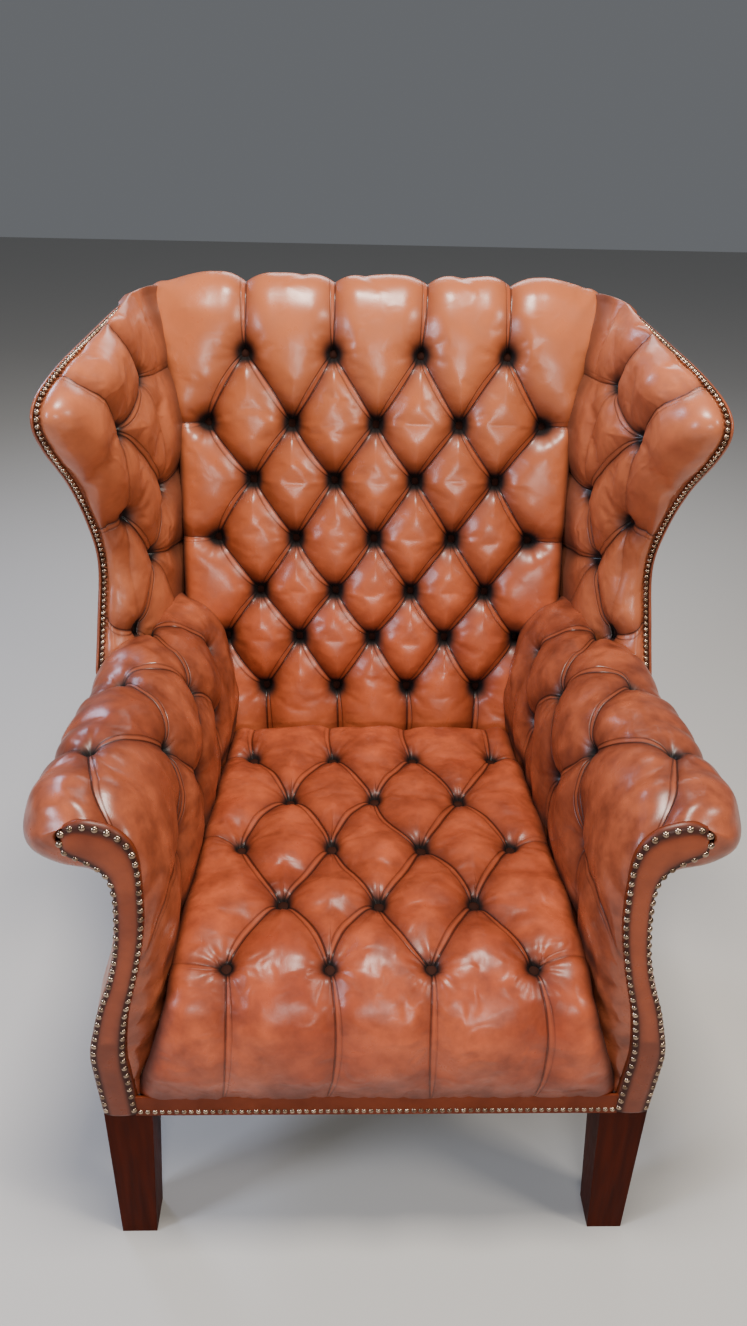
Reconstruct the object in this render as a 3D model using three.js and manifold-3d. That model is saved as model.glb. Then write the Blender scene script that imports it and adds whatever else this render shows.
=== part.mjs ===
// A deep-buttoned wing armchair: wooden frame, webbing and springs, stuffed pads, leather covers, nail trim.
// Millimetres, +Z up, the front faces -Y. While it is built, y is the distance behind the front of the legs,
// and the right-hand half (+X) is modelled once and mirrored.

import * as THREE from 'three';
import { mergeVertices } from 'three/addons/utils/BufferGeometryUtils.js';
import Module from 'manifold-3d';

// ---- Driving dimensions ------------------------------------------------------------------------------

const GAP = 0.4;                    // clearance between neighbouring pieces
const HIDE = 2.4;                   // thickness of the leather with its wadding
const PANEL = 3;                    // thickness of the flat outside panels

const FRONT_REACH = -14.3;          // how far the seat front stands before the legs
const REAR_REACH = 794.3;           // where the outside of the wings ends

const RAIL_BOTTOM = 240;
const RAIL_TOP = 300;
const RAIL_THICK = 28;
const PANEL_FOOT = RAIL_BOTTOM - 4; // the outside leather ends here, just over the tops of the legs
const TRIM_FOOT = RAIL_BOTTOM - 3;  // and so do the facings and the front border

const FRONT_LEG = { outer: 330, top: 58, foot: 45 };
const REAR_LEG = { inner: 238, outer: 276, frontFace: 586 };
const POST_SPLAY = [[300, 0], [600, 46], [1040, 27]];   // height, how far out the back posts stand there

const RAKE = 0.2245;                // slope of the back
const RAKE_S = 600;                 // the button plane of the back passes through this distance ...
const RAKE_Z = 490;                 // ... at this height
const POST_DEPTH = [24, 62];        // back posts, behind the button plane
const OUTSIDE_BACK = 64;            // inner face of the outside back, behind the button plane
const OUTSIDE_BACK_FOOT = 637;      // and where it stands upright, over the rear rail
const BACK_TOP = 1076;
const POST_TOP = 1030;

const SEAT_UNDERSIDE = 357.6;       // underside of the seat pad, on the spring canvas
const NAIL_HEAD = 10;               // diameter of a decorative nail head
const NAIL_RISE = 3;                // how far the heads stand proud

// ---- Materials ---------------------------------------------------------------------------------------

const finish = (color, roughness, metalness = 0) =>
  new THREE.MeshStandardMaterial({ color, roughness, metalness });

const MATERIAL = {
  mahogany: () => finish(0x3a140c, 0.3),
  beech: () => finish(0xb58a5a, 0.7),
  leather: () => finish(0xa4521f, 0.35),
  stuffing: () => finish(0xb9a88a, 0.95),
  canvas: () => finish(0xa78c60, 0.95),
  blackCloth: () => finish(0x15130f, 0.95),
  steel: () => finish(0x8a8c8e, 0.4, 1),
  antiqueBrass: () => finish(0x8c7350, 0.35, 1),
};

// ---- Solids ------------------------------------------------------------------------------------------

const wasm = await Module();
wasm.setup();

const V2 = (x, y) => new THREE.Vector2(x, y);
const lerp = THREE.MathUtils.lerp;

// A closed geometry as a solid that can be joined and cut.
function solid(geometry) {
  const bare = geometry.clone();
  bare.deleteAttribute('normal');
  bare.deleteAttribute('uv');
  const merged = mergeVertices(bare, 1e-3);
  const triVerts = new Uint32Array(merged.index.array);
  const vertProperties = new Float32Array(merged.attributes.position.array);
  return new wasm.Manifold(new wasm.Mesh({ numProp: 3, vertProperties, triVerts }));
}

// The surface of a solid as a geometry with flat faces.
function surface(made) {
  const mesh = made.getMesh();
  const geometry = new THREE.BufferGeometry();
  geometry.setAttribute('position', new THREE.BufferAttribute(new Float32Array(mesh.vertProperties), 3));
  geometry.setIndex(new THREE.BufferAttribute(new Uint32Array(mesh.triVerts), 1));
  const flat = geometry.toNonIndexed();
  flat.computeVertexNormals();
  return flat;
}

// A closed skin through equal rings of points, with flat ends.
function loft(rings, outline) {
  const count = outline.length;
  const points = rings.flat();
  const index = [];
  for (let ring = 0; ring + 1 < rings.length; ring++) {
    for (let i = 0; i < count; i++) {
      const a = ring * count + i;
      const b = ring * count + (i + 1) % count;
      index.push(a, b, a + count, b, b + count, a + count);
    }
  }
  const last = (rings.length - 1) * count;
  const clockwise = THREE.ShapeUtils.isClockWise(outline);
  for (const [a, b, c] of THREE.ShapeUtils.triangulateShape(outline, [])) {
    if (clockwise) index.push(a, b, c, last + a, last + c, last + b);
    else index.push(a, c, b, last + a, last + b, last + c);
  }
  const position = new Float32Array(points.flatMap((p) => [p.x, p.y, p.z]));
  if (volume(points, index) < 0) index.reverse();
  const geometry = new THREE.BufferGeometry();
  geometry.setAttribute('position', new THREE.BufferAttribute(position, 3));
  geometry.setIndex(index);
  return geometry;
}

function volume(points, index) {
  let total = 0;
  for (let i = 0; i < index.length; i += 3) {
    const [a, b, c] = [points[index[i]], points[index[i + 1]], points[index[i + 2]]];
    total += a.dot(new THREE.Vector3().crossVectors(b, c));
  }
  return total / 6;
}

// Points spaced evenly along a smooth curve through a few given ones.
const smooth = (points, count) =>
  new THREE.SplineCurve(points.map(([x, y]) => V2(x, y))).getSpacedPoints(count);

// An outline that runs clockwise round its solid, moved inwards by a distance.
function inset(points, distance, closed = false) {
  const last = points.length - 1;
  return points.map((point, i) => {
    const before = points[i > 0 ? i - 1 : closed ? last : 0];
    const after = points[i < last ? i + 1 : closed ? 0 : last];
    const along = after.clone().sub(before).normalize();
    return V2(point.x + along.y * distance, point.y - along.x * distance);
  });
}

// A flat board whose outline is drawn in plan, from the side or from the front.
const shapeOf = (points) => new THREE.Shape(points.map((p) => (Array.isArray(p) ? V2(...p) : p)));
const extrude = (points, depth) =>
  new THREE.ExtrudeGeometry(shapeOf(points), { depth, bevelEnabled: false });
const AXES = [new THREE.Vector3(1, 0, 0), new THREE.Vector3(0, 1, 0), new THREE.Vector3(0, 0, 1)];
const SIDE_VIEW = new THREE.Matrix4().makeBasis(AXES[1], AXES[2], AXES[0]);
const FRONT_VIEW = new THREE.Matrix4().makeBasis(AXES[0], AXES[2], AXES[1].clone().negate());

const planBoard = (points, low, high) => extrude(points, high - low).translate(0, 0, low);
const sideBoard = (points, left, right) =>
  extrude(points, right - left).applyMatrix4(SIDE_VIEW).translate(left, 0, 0);
const frontBoard = (points, front, back) =>
  extrude(points, back - front).applyMatrix4(FRONT_VIEW).translate(0, back, 0);
const box = (low, high) =>
  new THREE.BoxGeometry(high[0] - low[0], high[1] - low[1], high[2] - low[2]).translate(
    (low[0] + high[0]) / 2, (low[1] + high[1]) / 2, (low[2] + high[2]) / 2);

// The right half of an outline, joined to its mirror image.
const withMirror = (points) => [...points, ...points.map(([x, y]) => [-x, y]).reverse()];

// ---- The back's raked lines --------------------------------------------------------------------------

const buttonPlane = (z) => RAKE_S + RAKE * (z - RAKE_Z);
const raked = (depth, z) => [buttonPlane(z) + depth, z];
function splay(z) {
  const [low, middle, high] = POST_SPLAY;
  const [from, to] = z < middle[0] ? [low, middle] : [middle, high];
  return lerp(from[1], to[1], Math.max(0, (z - from[0]) / (to[0] - from[0])));
}
const postOuter = (z) => REAR_LEG.outer + splay(z);
const postInner = (z) => REAR_LEG.inner + splay(z);
const panelOuter = (z) => postOuter(z) + 4 + PANEL;     // outside of the leather that covers the posts

// Inner face of the outside back, from the seat rail to the top: upright at the rail, then raked.
const outsideBackLine = (offset) => [
  [OUTSIDE_BACK_FOOT + offset, PANEL_FOOT],
  [OUTSIDE_BACK_FOOT + offset, 310],
  raked(OUTSIDE_BACK + offset, 430),
  raked(OUTSIDE_BACK + offset, 1040),
];

// Everything in front of a raked plane, or in front of the outside back.
const BIG = 900;
const BEYOND = 400;                 // how far the plane is carried on above the line
const frontOf = (line) => {
  const [low, high] = [line[0], line[line.length - 1]];
  const below = [low[0], -BIG];
  const above = [high[0] + RAKE * BEYOND, high[1] + BEYOND];
  return solid(sideBoard([[-BIG, -BIG], below, ...line, above, [-BIG, above[1]]], -BIG, BIG));
};
const frontOfPosts = frontOf([raked(POST_DEPTH[0] - 4, RAIL_TOP), raked(POST_DEPTH[0] - 4, BACK_TOP)]);
const frontOfOutsideBack = frontOf(outsideBackLine(-GAP));

// ---- Wooden frame ------------------------------------------------------------------------------------

// A tapered square leg with a narrower block on top, between the rails and inside the leather.
const LEG_BLOCK = { left: 300, right: 321, front: 6, bottom: RAIL_BOTTOM - 10 };

function frontLeg() {
  const { outer, top, foot } = FRONT_LEG;
  const square = (size) => [V2(outer - size, 0), V2(outer, 0), V2(outer, size), V2(outer - size, size)];
  const levels = [[0, foot], [PANEL_FOOT, top]];
  const rings = levels.map(([z, size]) => square(size).map((p) => new THREE.Vector3(p.x, p.y, z)));
  const { left, right, front, bottom } = LEG_BLOCK;
  const block = box([left, front, bottom], [right, top, RAIL_TOP]);
  return solid(loft(rings, square(top))).add(solid(block));
}

// One piece from the floor to the top of the back: raked back below the seat, and again above it.
// At each bend: how far back it stands, its height there and half its depth.
function rearLeg() {
  const levels = [[692, 0, 21], [655, 110, 22], [618, 215, 23], [610, 250, 23.5], [610, RAIL_TOP, 23.5],
    [...raked(41, 430), 19], [...raked(43, 600), 19], [...raked(43, POST_TOP), 19]];
  const corners = (s, z, half) => {
    const [left, right] = [postInner(z), postOuter(z)];
    return [[left, s - half], [right, s - half], [right, s + half], [left, s + half]];
  };
  const rings = levels.map(([s, z, half]) =>
    corners(s, z, half).map(([x, y]) => new THREE.Vector3(x, y, z)));
  return loft(rings, corners(0, 0, 20).map(([x, y]) => V2(x, y)));
}

const SIDE_RAIL_ENDS = [FRONT_LEG.top + GAP, REAR_LEG.frontFace];
const sideRailOuter = (s) => {
  const along = (s - SIDE_RAIL_ENDS[0]) / (SIDE_RAIL_ENDS[1] - SIDE_RAIL_ENDS[0]);
  return lerp(FRONT_LEG.outer - 7, REAR_LEG.outer, along);
};

function sideRail() {
  const [near, far] = SIDE_RAIL_ENDS;
  const outer = [[sideRailOuter(near), near], [sideRailOuter(far), far]];
  const inner = outer.map(([x, s]) => [x - RAIL_THICK, s]).reverse();
  return planBoard([...outer, ...inner], RAIL_BOTTOM, RAIL_TOP);
}

const frontRailEnd = LEG_BLOCK.left - GAP;
const rearRailEnd = REAR_LEG.inner - GAP;
const REAR_RAIL = [598, 598 + RAIL_THICK];

// The front rail, with a tenon at each end that meets the block of the leg.
function frontRail() {
  const [shoulder, tenon] = [264, 10];
  const outline = [[shoulder, 0], [shoulder, tenon], [frontRailEnd, tenon], [frontRailEnd, RAIL_THICK]];
  return planBoard(withMirror(outline), RAIL_BOTTOM, RAIL_TOP - 2);
}

const CORNER_BLOCK = { low: RAIL_BOTTOM + 15, high: RAIL_TOP - 5 };

function frontCornerBlock() {
  const inside = (s) => sideRailOuter(s) - RAIL_THICK - GAP;
  const [back, reach, point] = [RAIL_THICK + GAP, 110, 212];
  const legBack = FRONT_LEG.top + GAP;
  const outline = [[point, back], [inside(legBack), back], [inside(legBack), legBack], [inside(reach), reach]];
  return planBoard(outline, CORNER_BLOCK.low, CORNER_BLOCK.high);
}

function rearCornerBlock() {
  const inside = (s) => sideRailOuter(s) - RAIL_THICK - GAP;
  const [front, reach, point] = [REAR_RAIL[0] - GAP, 530, 180];
  const legFront = REAR_LEG.frontFace - GAP;
  const outline = [[inside(reach), reach], [inside(legFront), legFront], [rearRailEnd, legFront],
    [rearRailEnd, front], [point, front]];
  return planBoard(outline, CORNER_BLOCK.low, CORNER_BLOCK.high);
}

// A rail across the back, between the posts.
function backRail(low, high) {
  const [near, far] = [POST_DEPTH[0], POST_DEPTH[0] + RAIL_THICK];
  const half = Math.min(postInner(low), postInner(high)) - GAP;
  return sideBoard([raked(near, low), raked(far, low), raked(far, high), raked(near, high)], -half, half);
}

// ---- Arms --------------------------------------------------------------------------------------------

// Outer line of an arm across its width, from the seat up the inside, over the roll and under it.
const ARM_NEAR = { s: 60, line: [[272, 302], [262, 350], [246, 425], [236, 480], [231, 540], [236, 600],
  [258, 655], [292, 690], [332, 697], [366, 678], [383, 642], [376, 616], [350, 604], [316, 601]] };
const ARM_FAR = { s: 600, line: [[212, 302], [212, 350], [211, 430], [211, 480], [214, 535], [228, 580],
  [250, 612], [285, 630], [325, 632], [360, 615], [376, 588], [368, 565], [346, 554], [316, 551]] };
const ARM_END = 680;
const ARM_NOSE = { reach: 60, inset: 18 };          // how the roll rounds off towards its front
const ARM_STEPS = 20;
const ARM_WIDEST = 15;                              // the step at which the roll reaches furthest out
const ARM_FRONT = 1;
const ARM_BOARD = { inner: 303, outer: 347, thick: 22, under: 9 };
const ARM_WALL = 25;                                // thickness of the stuffed inside wall
const ARM_WALL_BEND = 430;                          // height above which that wall leans in

const armShare = (s) => (s - ARM_NEAR.s) / (ARM_FAR.s - ARM_NEAR.s);
const armUnderside = (s) => lerp(601, 551, armShare(s));

function armLine(s, extra) {
  const share = armShare(Math.max(s, ARM_NEAR.s));
  const points = ARM_NEAR.line.map(([x, z], i) =>
    [lerp(x, ARM_FAR.line[i][0], share), lerp(z, ARM_FAR.line[i][1], share)]);
  const ahead = Math.min(1, Math.max(0, 1 - s / ARM_NOSE.reach));
  const nose = ARM_NOSE.inset * (1 - Math.sqrt(1 - ahead * ahead));
  return inset(smooth(points, ARM_STEPS), nose + extra);
}

// The stuffed arm: an inside wall with a roll on top.
function armOutline(s, extra) {
  const line = armLine(s, extra);
  const share = armShare(s);
  const wall = lerp(ARM_NEAR.line[0][0], ARM_FAR.line[0][0], share) + ARM_WALL;
  const underRoll = lerp(ARM_NEAR.line[4][0], ARM_FAR.line[4][0], share) + ARM_WALL;
  return [...line, V2(underRoll, line[ARM_STEPS].y), V2(wall, ARM_WALL_BEND), V2(wall, line[0].y)];
}

// Everything inside the leather of an arm, open below: what is cut away to leave the cover.
function armHollow(s, extra) {
  const line = armLine(s, extra);
  const end = line[line.length - 1];
  const [low, high, outside] = [280, 480, line[0].x + 60];
  return [...line, V2(end.x, high), V2(outside, high), V2(outside, low), V2(line[0].x, low)];
}

const stationsOf = (first) => [first, 12, 28, 60, 240, 420, ARM_END];
const armRings = (outline, stations, extra) =>
  stations.map((s) => outline(s, extra).map((p) => new THREE.Vector3(p.x, s, p.y)));
const armSolid = (outline, first, extra) =>
  solid(loft(armRings(outline, stationsOf(first), extra), outline(ARM_NEAR.s, extra)));

// The facing runs up from the leg, leans inwards and curls out at the top; both its edges carry nails.
const FACING_OUTER = [[331, 228], [327, 330], [312, 420], [290, 495], [281, 575], [290, 617], [310, 634],
  [331, 650]];
const FACING_INNER = [[326, 669], [303, 675], [278, 667], [260, 645], [256, 590], [262, 520], [283, 430],
  [296, 350], [298, 228]];
const FACING_STEPS = 12;
const FACING_LAP = 5;                               // how far its edge stands beyond the nail lines
const FACING_THICK = 7;
const POST_INSET = 7;                               // how far the post inside the arm stands within them

// A board of the facing's outline, moved out from the nail lines (or in, when negative).
function facingBoard(outwards, bottom, front, back) {
  const outer = inset(smooth(FACING_OUTER, FACING_STEPS), outwards);
  const inner = inset(smooth(FACING_INNER, FACING_STEPS), outwards);
  return solid(frontBoard([...outer, ...inner], front, back))
    .intersect(solid(box([0, front, bottom], [BIG, back, BIG])));
}

const armPost = () => facingBoard(-POST_INSET, RAIL_TOP + GAP, ARM_FRONT + HIDE + GAP, 30);
const armFacing = () => facingBoard(FACING_LAP, TRIM_FOOT, -FACING_THICK, -GAP);

function armBoard(extra) {
  const rings = [31 - extra, 660].map((s) => {
    const [left, right] = [ARM_BOARD.inner - extra, ARM_BOARD.outer + extra];
    const low = armUnderside(s) + ARM_BOARD.under - extra;
    const high = low + ARM_BOARD.thick + 2 * extra;
    const corners = [[left, low], [right, low], [right, high], [left, high]];
    return corners.map(([x, z]) => new THREE.Vector3(x, s, z));
  });
  return solid(loft(rings, [V2(0, 0), V2(1, 0), V2(1, 1), V2(0, 1)]));
}

// ---- Wings -------------------------------------------------------------------------------------------

// The nail line of a wing seen from the side: up the front edge, round the tip and back along the top.
const WING_LINE = [[422, 585], [450, 668], [472, 748], [452, 818], [414, 884], [368, 939], [348, 976],
  [365, 1000], [424, 1020], [512, 1037], [627, 1060], [712, 1071]];
const WING_STEPS = 22;
const WING_REAR = [[830, 1008], [830, 560], [500, 560]];
// The rim's roll: depth inwards from the outside of the wing, growth of the outline there.
const WING_RIM = [[0, 6], [11, 6], [26, 5], [42, -4], [54, -18], [75, -50]];
const WING_BOARD = [4, 20];                         // frame of the wing, depth inwards
const WING_FLARE = 0.21;                            // how far the wing leans outwards towards its front
const WING_INSIDE = { x: 285, s: 660, flare: 0.178 };

const wingOuter = (s) => 386 + (422 - s) * WING_FLARE;
const onWing = (p, depth) => new THREE.Vector3(wingOuter(p.x) - depth, p.x, p.y);
const wingRing = (outline, depth) => outline.map((p) => onWing(p, depth));

function wingOutline(growth) {
  const rim = inset(smooth(WING_LINE, WING_STEPS), -growth);
  return [...rim, ...WING_REAR.map(([s, z]) => V2(s, z))];
}

function wingSolid(depths) {
  return solid(loft(depths.map(([depth, growth]) => wingRing(wingOutline(growth), depth)), wingOutline(0)));
}

// What lies outside the wing's padded inner face, moved outwards by a distance.
function outsideWingFace(extra) {
  const face = (s) => WING_INSIDE.x + (WING_INSIDE.s - s) * WING_INSIDE.flare + extra;
  return solid(planBoard([[face(-100), -100], [700, -100], [700, 900], [face(900), 900]], 400, 1200));
}

// A board inside the wing, drawn from the side and grown a little where room is cut for it.
function wingBoard(points, extra = 0) {
  const outline = inset(points.map(([s, z]) => V2(s, z)), -extra, true);
  const rings = [wingRing(outline, WING_BOARD[0] - extra), wingRing(outline, WING_BOARD[1] + extra)];
  return solid(loft(rings, outline)).intersect(frontOfPosts);
}

const WING_POST = [[434, 598], [458, 668], [480, 748], [460, 818], [422, 884], [378, 944], [418, 960],
  [452, 920], [492, 850], [512, 790], [516, 735], [500, 670], [474, 598]];
const WING_RAIL = [[377, 948], [364, 966], [370, 986], [386, 994], [428, 1010], [515, 1025], [600, 1026],
  [660, 1010], [790, 996], [790, 966], [655, 978], [596, 994], [518, 990], [420, 966]];

// ---- Seat --------------------------------------------------------------------------------------------

const SEAT_LINE = [[-5, 271], [-13, 305], [-14, 355], [-4, 402], [20, 434], [62, 448], [200, 452], [400, 452],
  [515, 447], [540, 436], [547, 410]];
const SEAT_STEPS = 18;
const SEAT_PLAN = [[270, -40], [270, 60], [236, 140], [206, 560]];       // half its width at each distance back
const SEAT_FACE = [[267, 240], [267, 271], [237, 430], [233, 480]];      // half its width at each height

function seatSolid(extra, low, front) {
  const line = inset(smooth(SEAT_LINE, SEAT_STEPS), extra);
  const narrower = ([x, y]) => [x - extra, y];
  return solid(sideBoard([...line, V2(line[SEAT_STEPS].x, low), ...front], -300, 300))
    .intersect(solid(planBoard(withMirror(SEAT_PLAN.map(narrower)), 200, 500)))
    .intersect(solid(frontBoard(withMirror(SEAT_FACE.map(narrower)), -60, 600)));
}

// ---- Back --------------------------------------------------------------------------------------------

const BACK_LINE = [raked(-28, 398), raked(-29, 600), raked(-29, 850), raked(-28, 1000), raked(-18, 1048),
  raked(6, BACK_TOP - 2), raked(36, BACK_TOP - 4), raked(58, 1058), raked(64, 1042)];
const BACK_STEPS = 22;
// Half its width at each height.
const BACK_FACE = [[283, 350], [283, 850], [300, 960], [318, 1042], [320, 1100]];
const BACK_BASE = [raked(POST_DEPTH[0] - 5, 1036), raked(POST_DEPTH[0] - 5, 398)];

function backSolid(extra, base) {
  const line = inset(smooth(BACK_LINE, BACK_STEPS), extra);
  return solid(sideBoard([...line, ...base], -340, 340))
    .intersect(solid(frontBoard(withMirror(BACK_FACE.map(([x, z]) => [x - extra, z])), 400, 900)));
}

// ---- Nail rows ---------------------------------------------------------------------------------------

// Section of a row, across and outwards, as shares of half a head's width and of its rise.
const NAIL_SECTION = [[-1, 0], [-0.6, 0.8], [0, 1], [0.6, 0.8], [1, 0]];

// A close-set row of heads as one domed band along a line of points, with given outward directions.
function nailRow(points, outwards) {
  const rings = points.map((point, i) => {
    const before = points[Math.max(i - 1, 0)];
    const after = points[Math.min(i + 1, points.length - 1)];
    const along = after.clone().sub(before).normalize();
    const out = outwards[i];
    const across = new THREE.Vector3().crossVectors(along, out).normalize();
    return NAIL_SECTION.map(([w, h]) =>
      point.clone().addScaledVector(across, w * NAIL_HEAD / 2).addScaledVector(out, h * NAIL_RISE));
  });
  return loft(rings, NAIL_SECTION.map(([w, h]) => V2(w, h)));
}

// ---- Springs, webbing and cloth ----------------------------------------------------------------------

class SpringCurve extends THREE.Curve {
  getPoint(t, target = new THREE.Vector3()) {
    const [turns, low, high, waist, rim] = [3.5, 243, 353, 26, 40];
    const radius = waist + (rim - waist) * (2 * t - 1) ** 2;
    const angle = t * turns * 2 * Math.PI;
    return target.set(radius * Math.cos(angle), radius * Math.sin(angle), lerp(low, high, t));
  }
}

const WIRE = 2;                     // half its thickness

function spring() {
  const wire = new THREE.Shape(new THREE.EllipseCurve(0, 0, WIRE, WIRE).getPoints(4).slice(0, 4));
  return new THREE.ExtrudeGeometry(wire, { steps: 30, bevelEnabled: false, extrudePath: new SpringCurve() });
}

const STRAP = 50;

// Straps laid both ways and stitched where they cross.
function webbing(straps) {
  return straps.map(([low, high]) => solid(box(low, high))).reduce((all, strap) => all.add(strap));
}

const STRAP_LEVEL = [RAIL_BOTTOM - 2.4, RAIL_BOTTOM - GAP];

function seatWebbing() {
  const lengthwise = [-165, -55, 55, 165].map((x) =>
    [[x - STRAP / 2, 4, STRAP_LEVEL[0]], [x + STRAP / 2, 622, STRAP_LEVEL[1]]]);
  const across = [110, 230, 350, 470].map((s) => {
    const reach = sideRailOuter(s + STRAP / 2) - 6;
    return [[-reach, s - STRAP / 2, STRAP_LEVEL[0]], [reach, s + STRAP / 2, STRAP_LEVEL[1]]];
  });
  return webbing([...lengthwise, ...across]);
}

// The straps of the back lie in its raked plane: they are laid flat first, then tilted.
function backWebbing() {
  const tilt = Math.atan(RAKE);
  const upright = [-180, -60, 60, 180].map((x) => [[x - STRAP / 2, 0, -60], [x + STRAP / 2, 2, 550]]);
  const across = [20, 145, 270, 395, 520].map((v) => [[-262, 0, v - STRAP / 2], [262, 2, v + STRAP / 2]]);
  const [s, z] = raked(POST_DEPTH[0] - 3, RAKE_Z);
  return surface(webbing([...upright, ...across])).rotateX(-tilt).translate(0, s, z);
}

function springCanvas() {
  return planBoard(withMirror([[226, 75], [198, 540]]), SEAT_UNDERSIDE - 2, SEAT_UNDERSIDE - GAP);
}

function dustCover() {
  const corner = FRONT_LEG.outer - FRONT_LEG.top - 4;
  const rear = REAR_LEG.inner - 4;
  const inside = (s) => sideRailOuter(s) - 6;
  const edge = [[corner, 6], [corner, 62], [inside(62), 62], [inside(582), 582], [rear, 582], [rear, 622]];
  return planBoard(withMirror(edge), STRAP_LEVEL[0] - 1.6, STRAP_LEVEL[0] - GAP);
}

// ---- Outside panels ----------------------------------------------------------------------------------

function outsideBack() {
  const panel = sideBoard([...outsideBackLine(0), ...outsideBackLine(PANEL).reverse()], -400, 400);
  const edge = [RAIL_BOTTOM - 40, RAIL_TOP, 600, 1100].map((z) => [panelOuter(z), z]);
  return solid(panel).intersect(solid(frontBoard(withMirror(edge), 500, 900)));
}

// Where an open outline crosses a height.
function across(points, height) {
  const above = Math.max(1, points.findIndex((p) => p.y >= height));
  const [low, high] = [points[above - 1], points[above]];
  return lerp(low.x, high.x, (height - low.y) / (high.y - low.y));
}

// From the facing's outer edge to the back edge, leaning in under the roll at the front.
function outsideArm() {
  const edge = inset(smooth(FACING_OUTER, 40), 4);
  const levels = [0, 0.15, 0.3, 0.45, 0.6, 0.75, 0.88, 1];
  const rings = [ARM_FRONT, 120, 260, 400, 540, 700].map((s) => {
    const top = Math.min(armUnderside(Math.max(s, ARM_NEAR.s)), 596) - 2;
    const outer = levels.map((level) => {
      const z = lerp(PANEL_FOOT, top, level);
      return new THREE.Vector3(lerp(across(edge, z), panelOuter(z), s / 660), s, z);
    });
    const inner = outer.map((p) => new THREE.Vector3(p.x - PANEL, s, p.z)).reverse();
    return [...outer, ...inner];
  });
  const panel = solid(loft(rings, rings[0].map((p) => V2(p.x, p.z))));
  return panel.intersect(frontOfOutsideBack);
}

function outsideWing() {
  return wingSolid([[-PANEL, 4], [-GAP, 4]]).intersect(frontOfOutsideBack)
    .subtract(armGrown).subtract(backGrown);
}

// ---- The chair ---------------------------------------------------------------------------------------

const chair = new THREE.Group();
const body = new THREE.Group();
body.position.y = -(FRONT_REACH + REAR_REACH) / 2;
chair.add(body);

function add(parent, name, shape, material) {
  const geometry = shape.isBufferGeometry ? shape : surface(shape);
  const mesh = new THREE.Mesh(geometry, material());
  mesh.name = name;
  parent.add(mesh);
}

// Everything an arm fills, and the space below its roll: its neighbours are cut back from it.
function armRoom(s, extra) {
  const line = armLine(s, extra).slice(0, ARM_WIDEST + 1);
  return [...line, V2(430, line[ARM_WIDEST].y), V2(430, 290), V2(line[0].x, 290)];
}

function bothSides(made) {
  const other = surface(made).scale(-1, 1, 1);
  const count = other.getAttribute('position').count;
  other.setIndex([...Array(count).keys()].reverse());
  return made.add(solid(other));
}

// The stuffing of an arm goes round its post and its board, and the wing's post passes through both.
const armGrown = armSolid(armRoom, ARM_FRONT - GAP, -GAP).intersect(frontOfPosts);
const wingPostRoom = wingBoard(WING_POST, GAP);
const armCover = armSolid(armOutline, ARM_FRONT, 0).intersect(frontOfPosts)
  .subtract(armSolid(armHollow, ARM_FRONT + HIDE, HIDE)).subtract(wingPostRoom);
const armPad = armSolid(armOutline, ARM_FRONT + HIDE + GAP, HIDE + GAP).intersect(frontOfPosts)
  .subtract(facingBoard(GAP - POST_INSET, RAIL_TOP - 20, 0, 32)).subtract(armBoard(GAP))
  .subtract(wingPostRoom);

const armsGrown = bothSides(armGrown);
const backHollow = backSolid(HIDE, [raked(90, 1030), raked(90, 380), raked(0, 380)]);
const backCover = backSolid(0, BACK_BASE).subtract(backHollow).subtract(armsGrown);
const backPad = backSolid(HIDE + GAP, BACK_BASE).subtract(armsGrown);

const backGrown = backSolid(-GAP, [raked(120, 1042), raked(120, 398)]);
const rim = (extra) => WING_RIM.map(([depth, growth]) => [depth, growth - extra]);
const wingCut = (made, extra) => made.intersect(outsideWingFace(extra)).intersect(frontOfPosts)
  .subtract(armGrown).subtract(backGrown);
const wingPost = wingBoard(WING_POST);
const wingRail = wingBoard(WING_RAIL).subtract(backGrown);
const wingHollow = wingSolid([[-6, WING_RIM[0][1] - HIDE], ...rim(HIDE)]).intersect(outsideWingFace(HIDE));
const wingCover = wingCut(wingSolid(rim(0)), 0).subtract(wingHollow);
const padLevels = [[WING_BOARD[1] + 2 * GAP, 2], ...rim(HIDE + 2 * GAP).slice(3)];
const wingPad = wingCut(wingSolid(padLevels), HIDE + 2 * GAP);

add(body, 'front_rail', frontRail(), MATERIAL.beech);
add(body, 'rear_rail', planBoard([[-rearRailEnd, REAR_RAIL[0]], [rearRailEnd, REAR_RAIL[0]],
  [rearRailEnd, REAR_RAIL[1]], [-rearRailEnd, REAR_RAIL[1]]], RAIL_BOTTOM, RAIL_TOP), MATERIAL.beech);
add(body, 'back_top_rail', backRail(POST_TOP - 60, POST_TOP), MATERIAL.beech);
add(body, 'back_stay_rail', backRail(400, 450), MATERIAL.beech);

add(body, 'seat_webbing', seatWebbing(), MATERIAL.canvas);
add(body, 'back_webbing', backWebbing(), MATERIAL.canvas);
add(body, 'spring_canvas', springCanvas(), MATERIAL.canvas);
add(body, 'dust_cover', dustCover(), MATERIAL.blackCloth);
for (const [row, s] of [150, 300, 450].entries()) {
  for (const [column, x] of [-130, 0, 130].entries()) {
    add(body, `seat_spring_${3 * row + column + 1}`, spring().translate(x, s, 0), MATERIAL.steel);
  }
}

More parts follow.
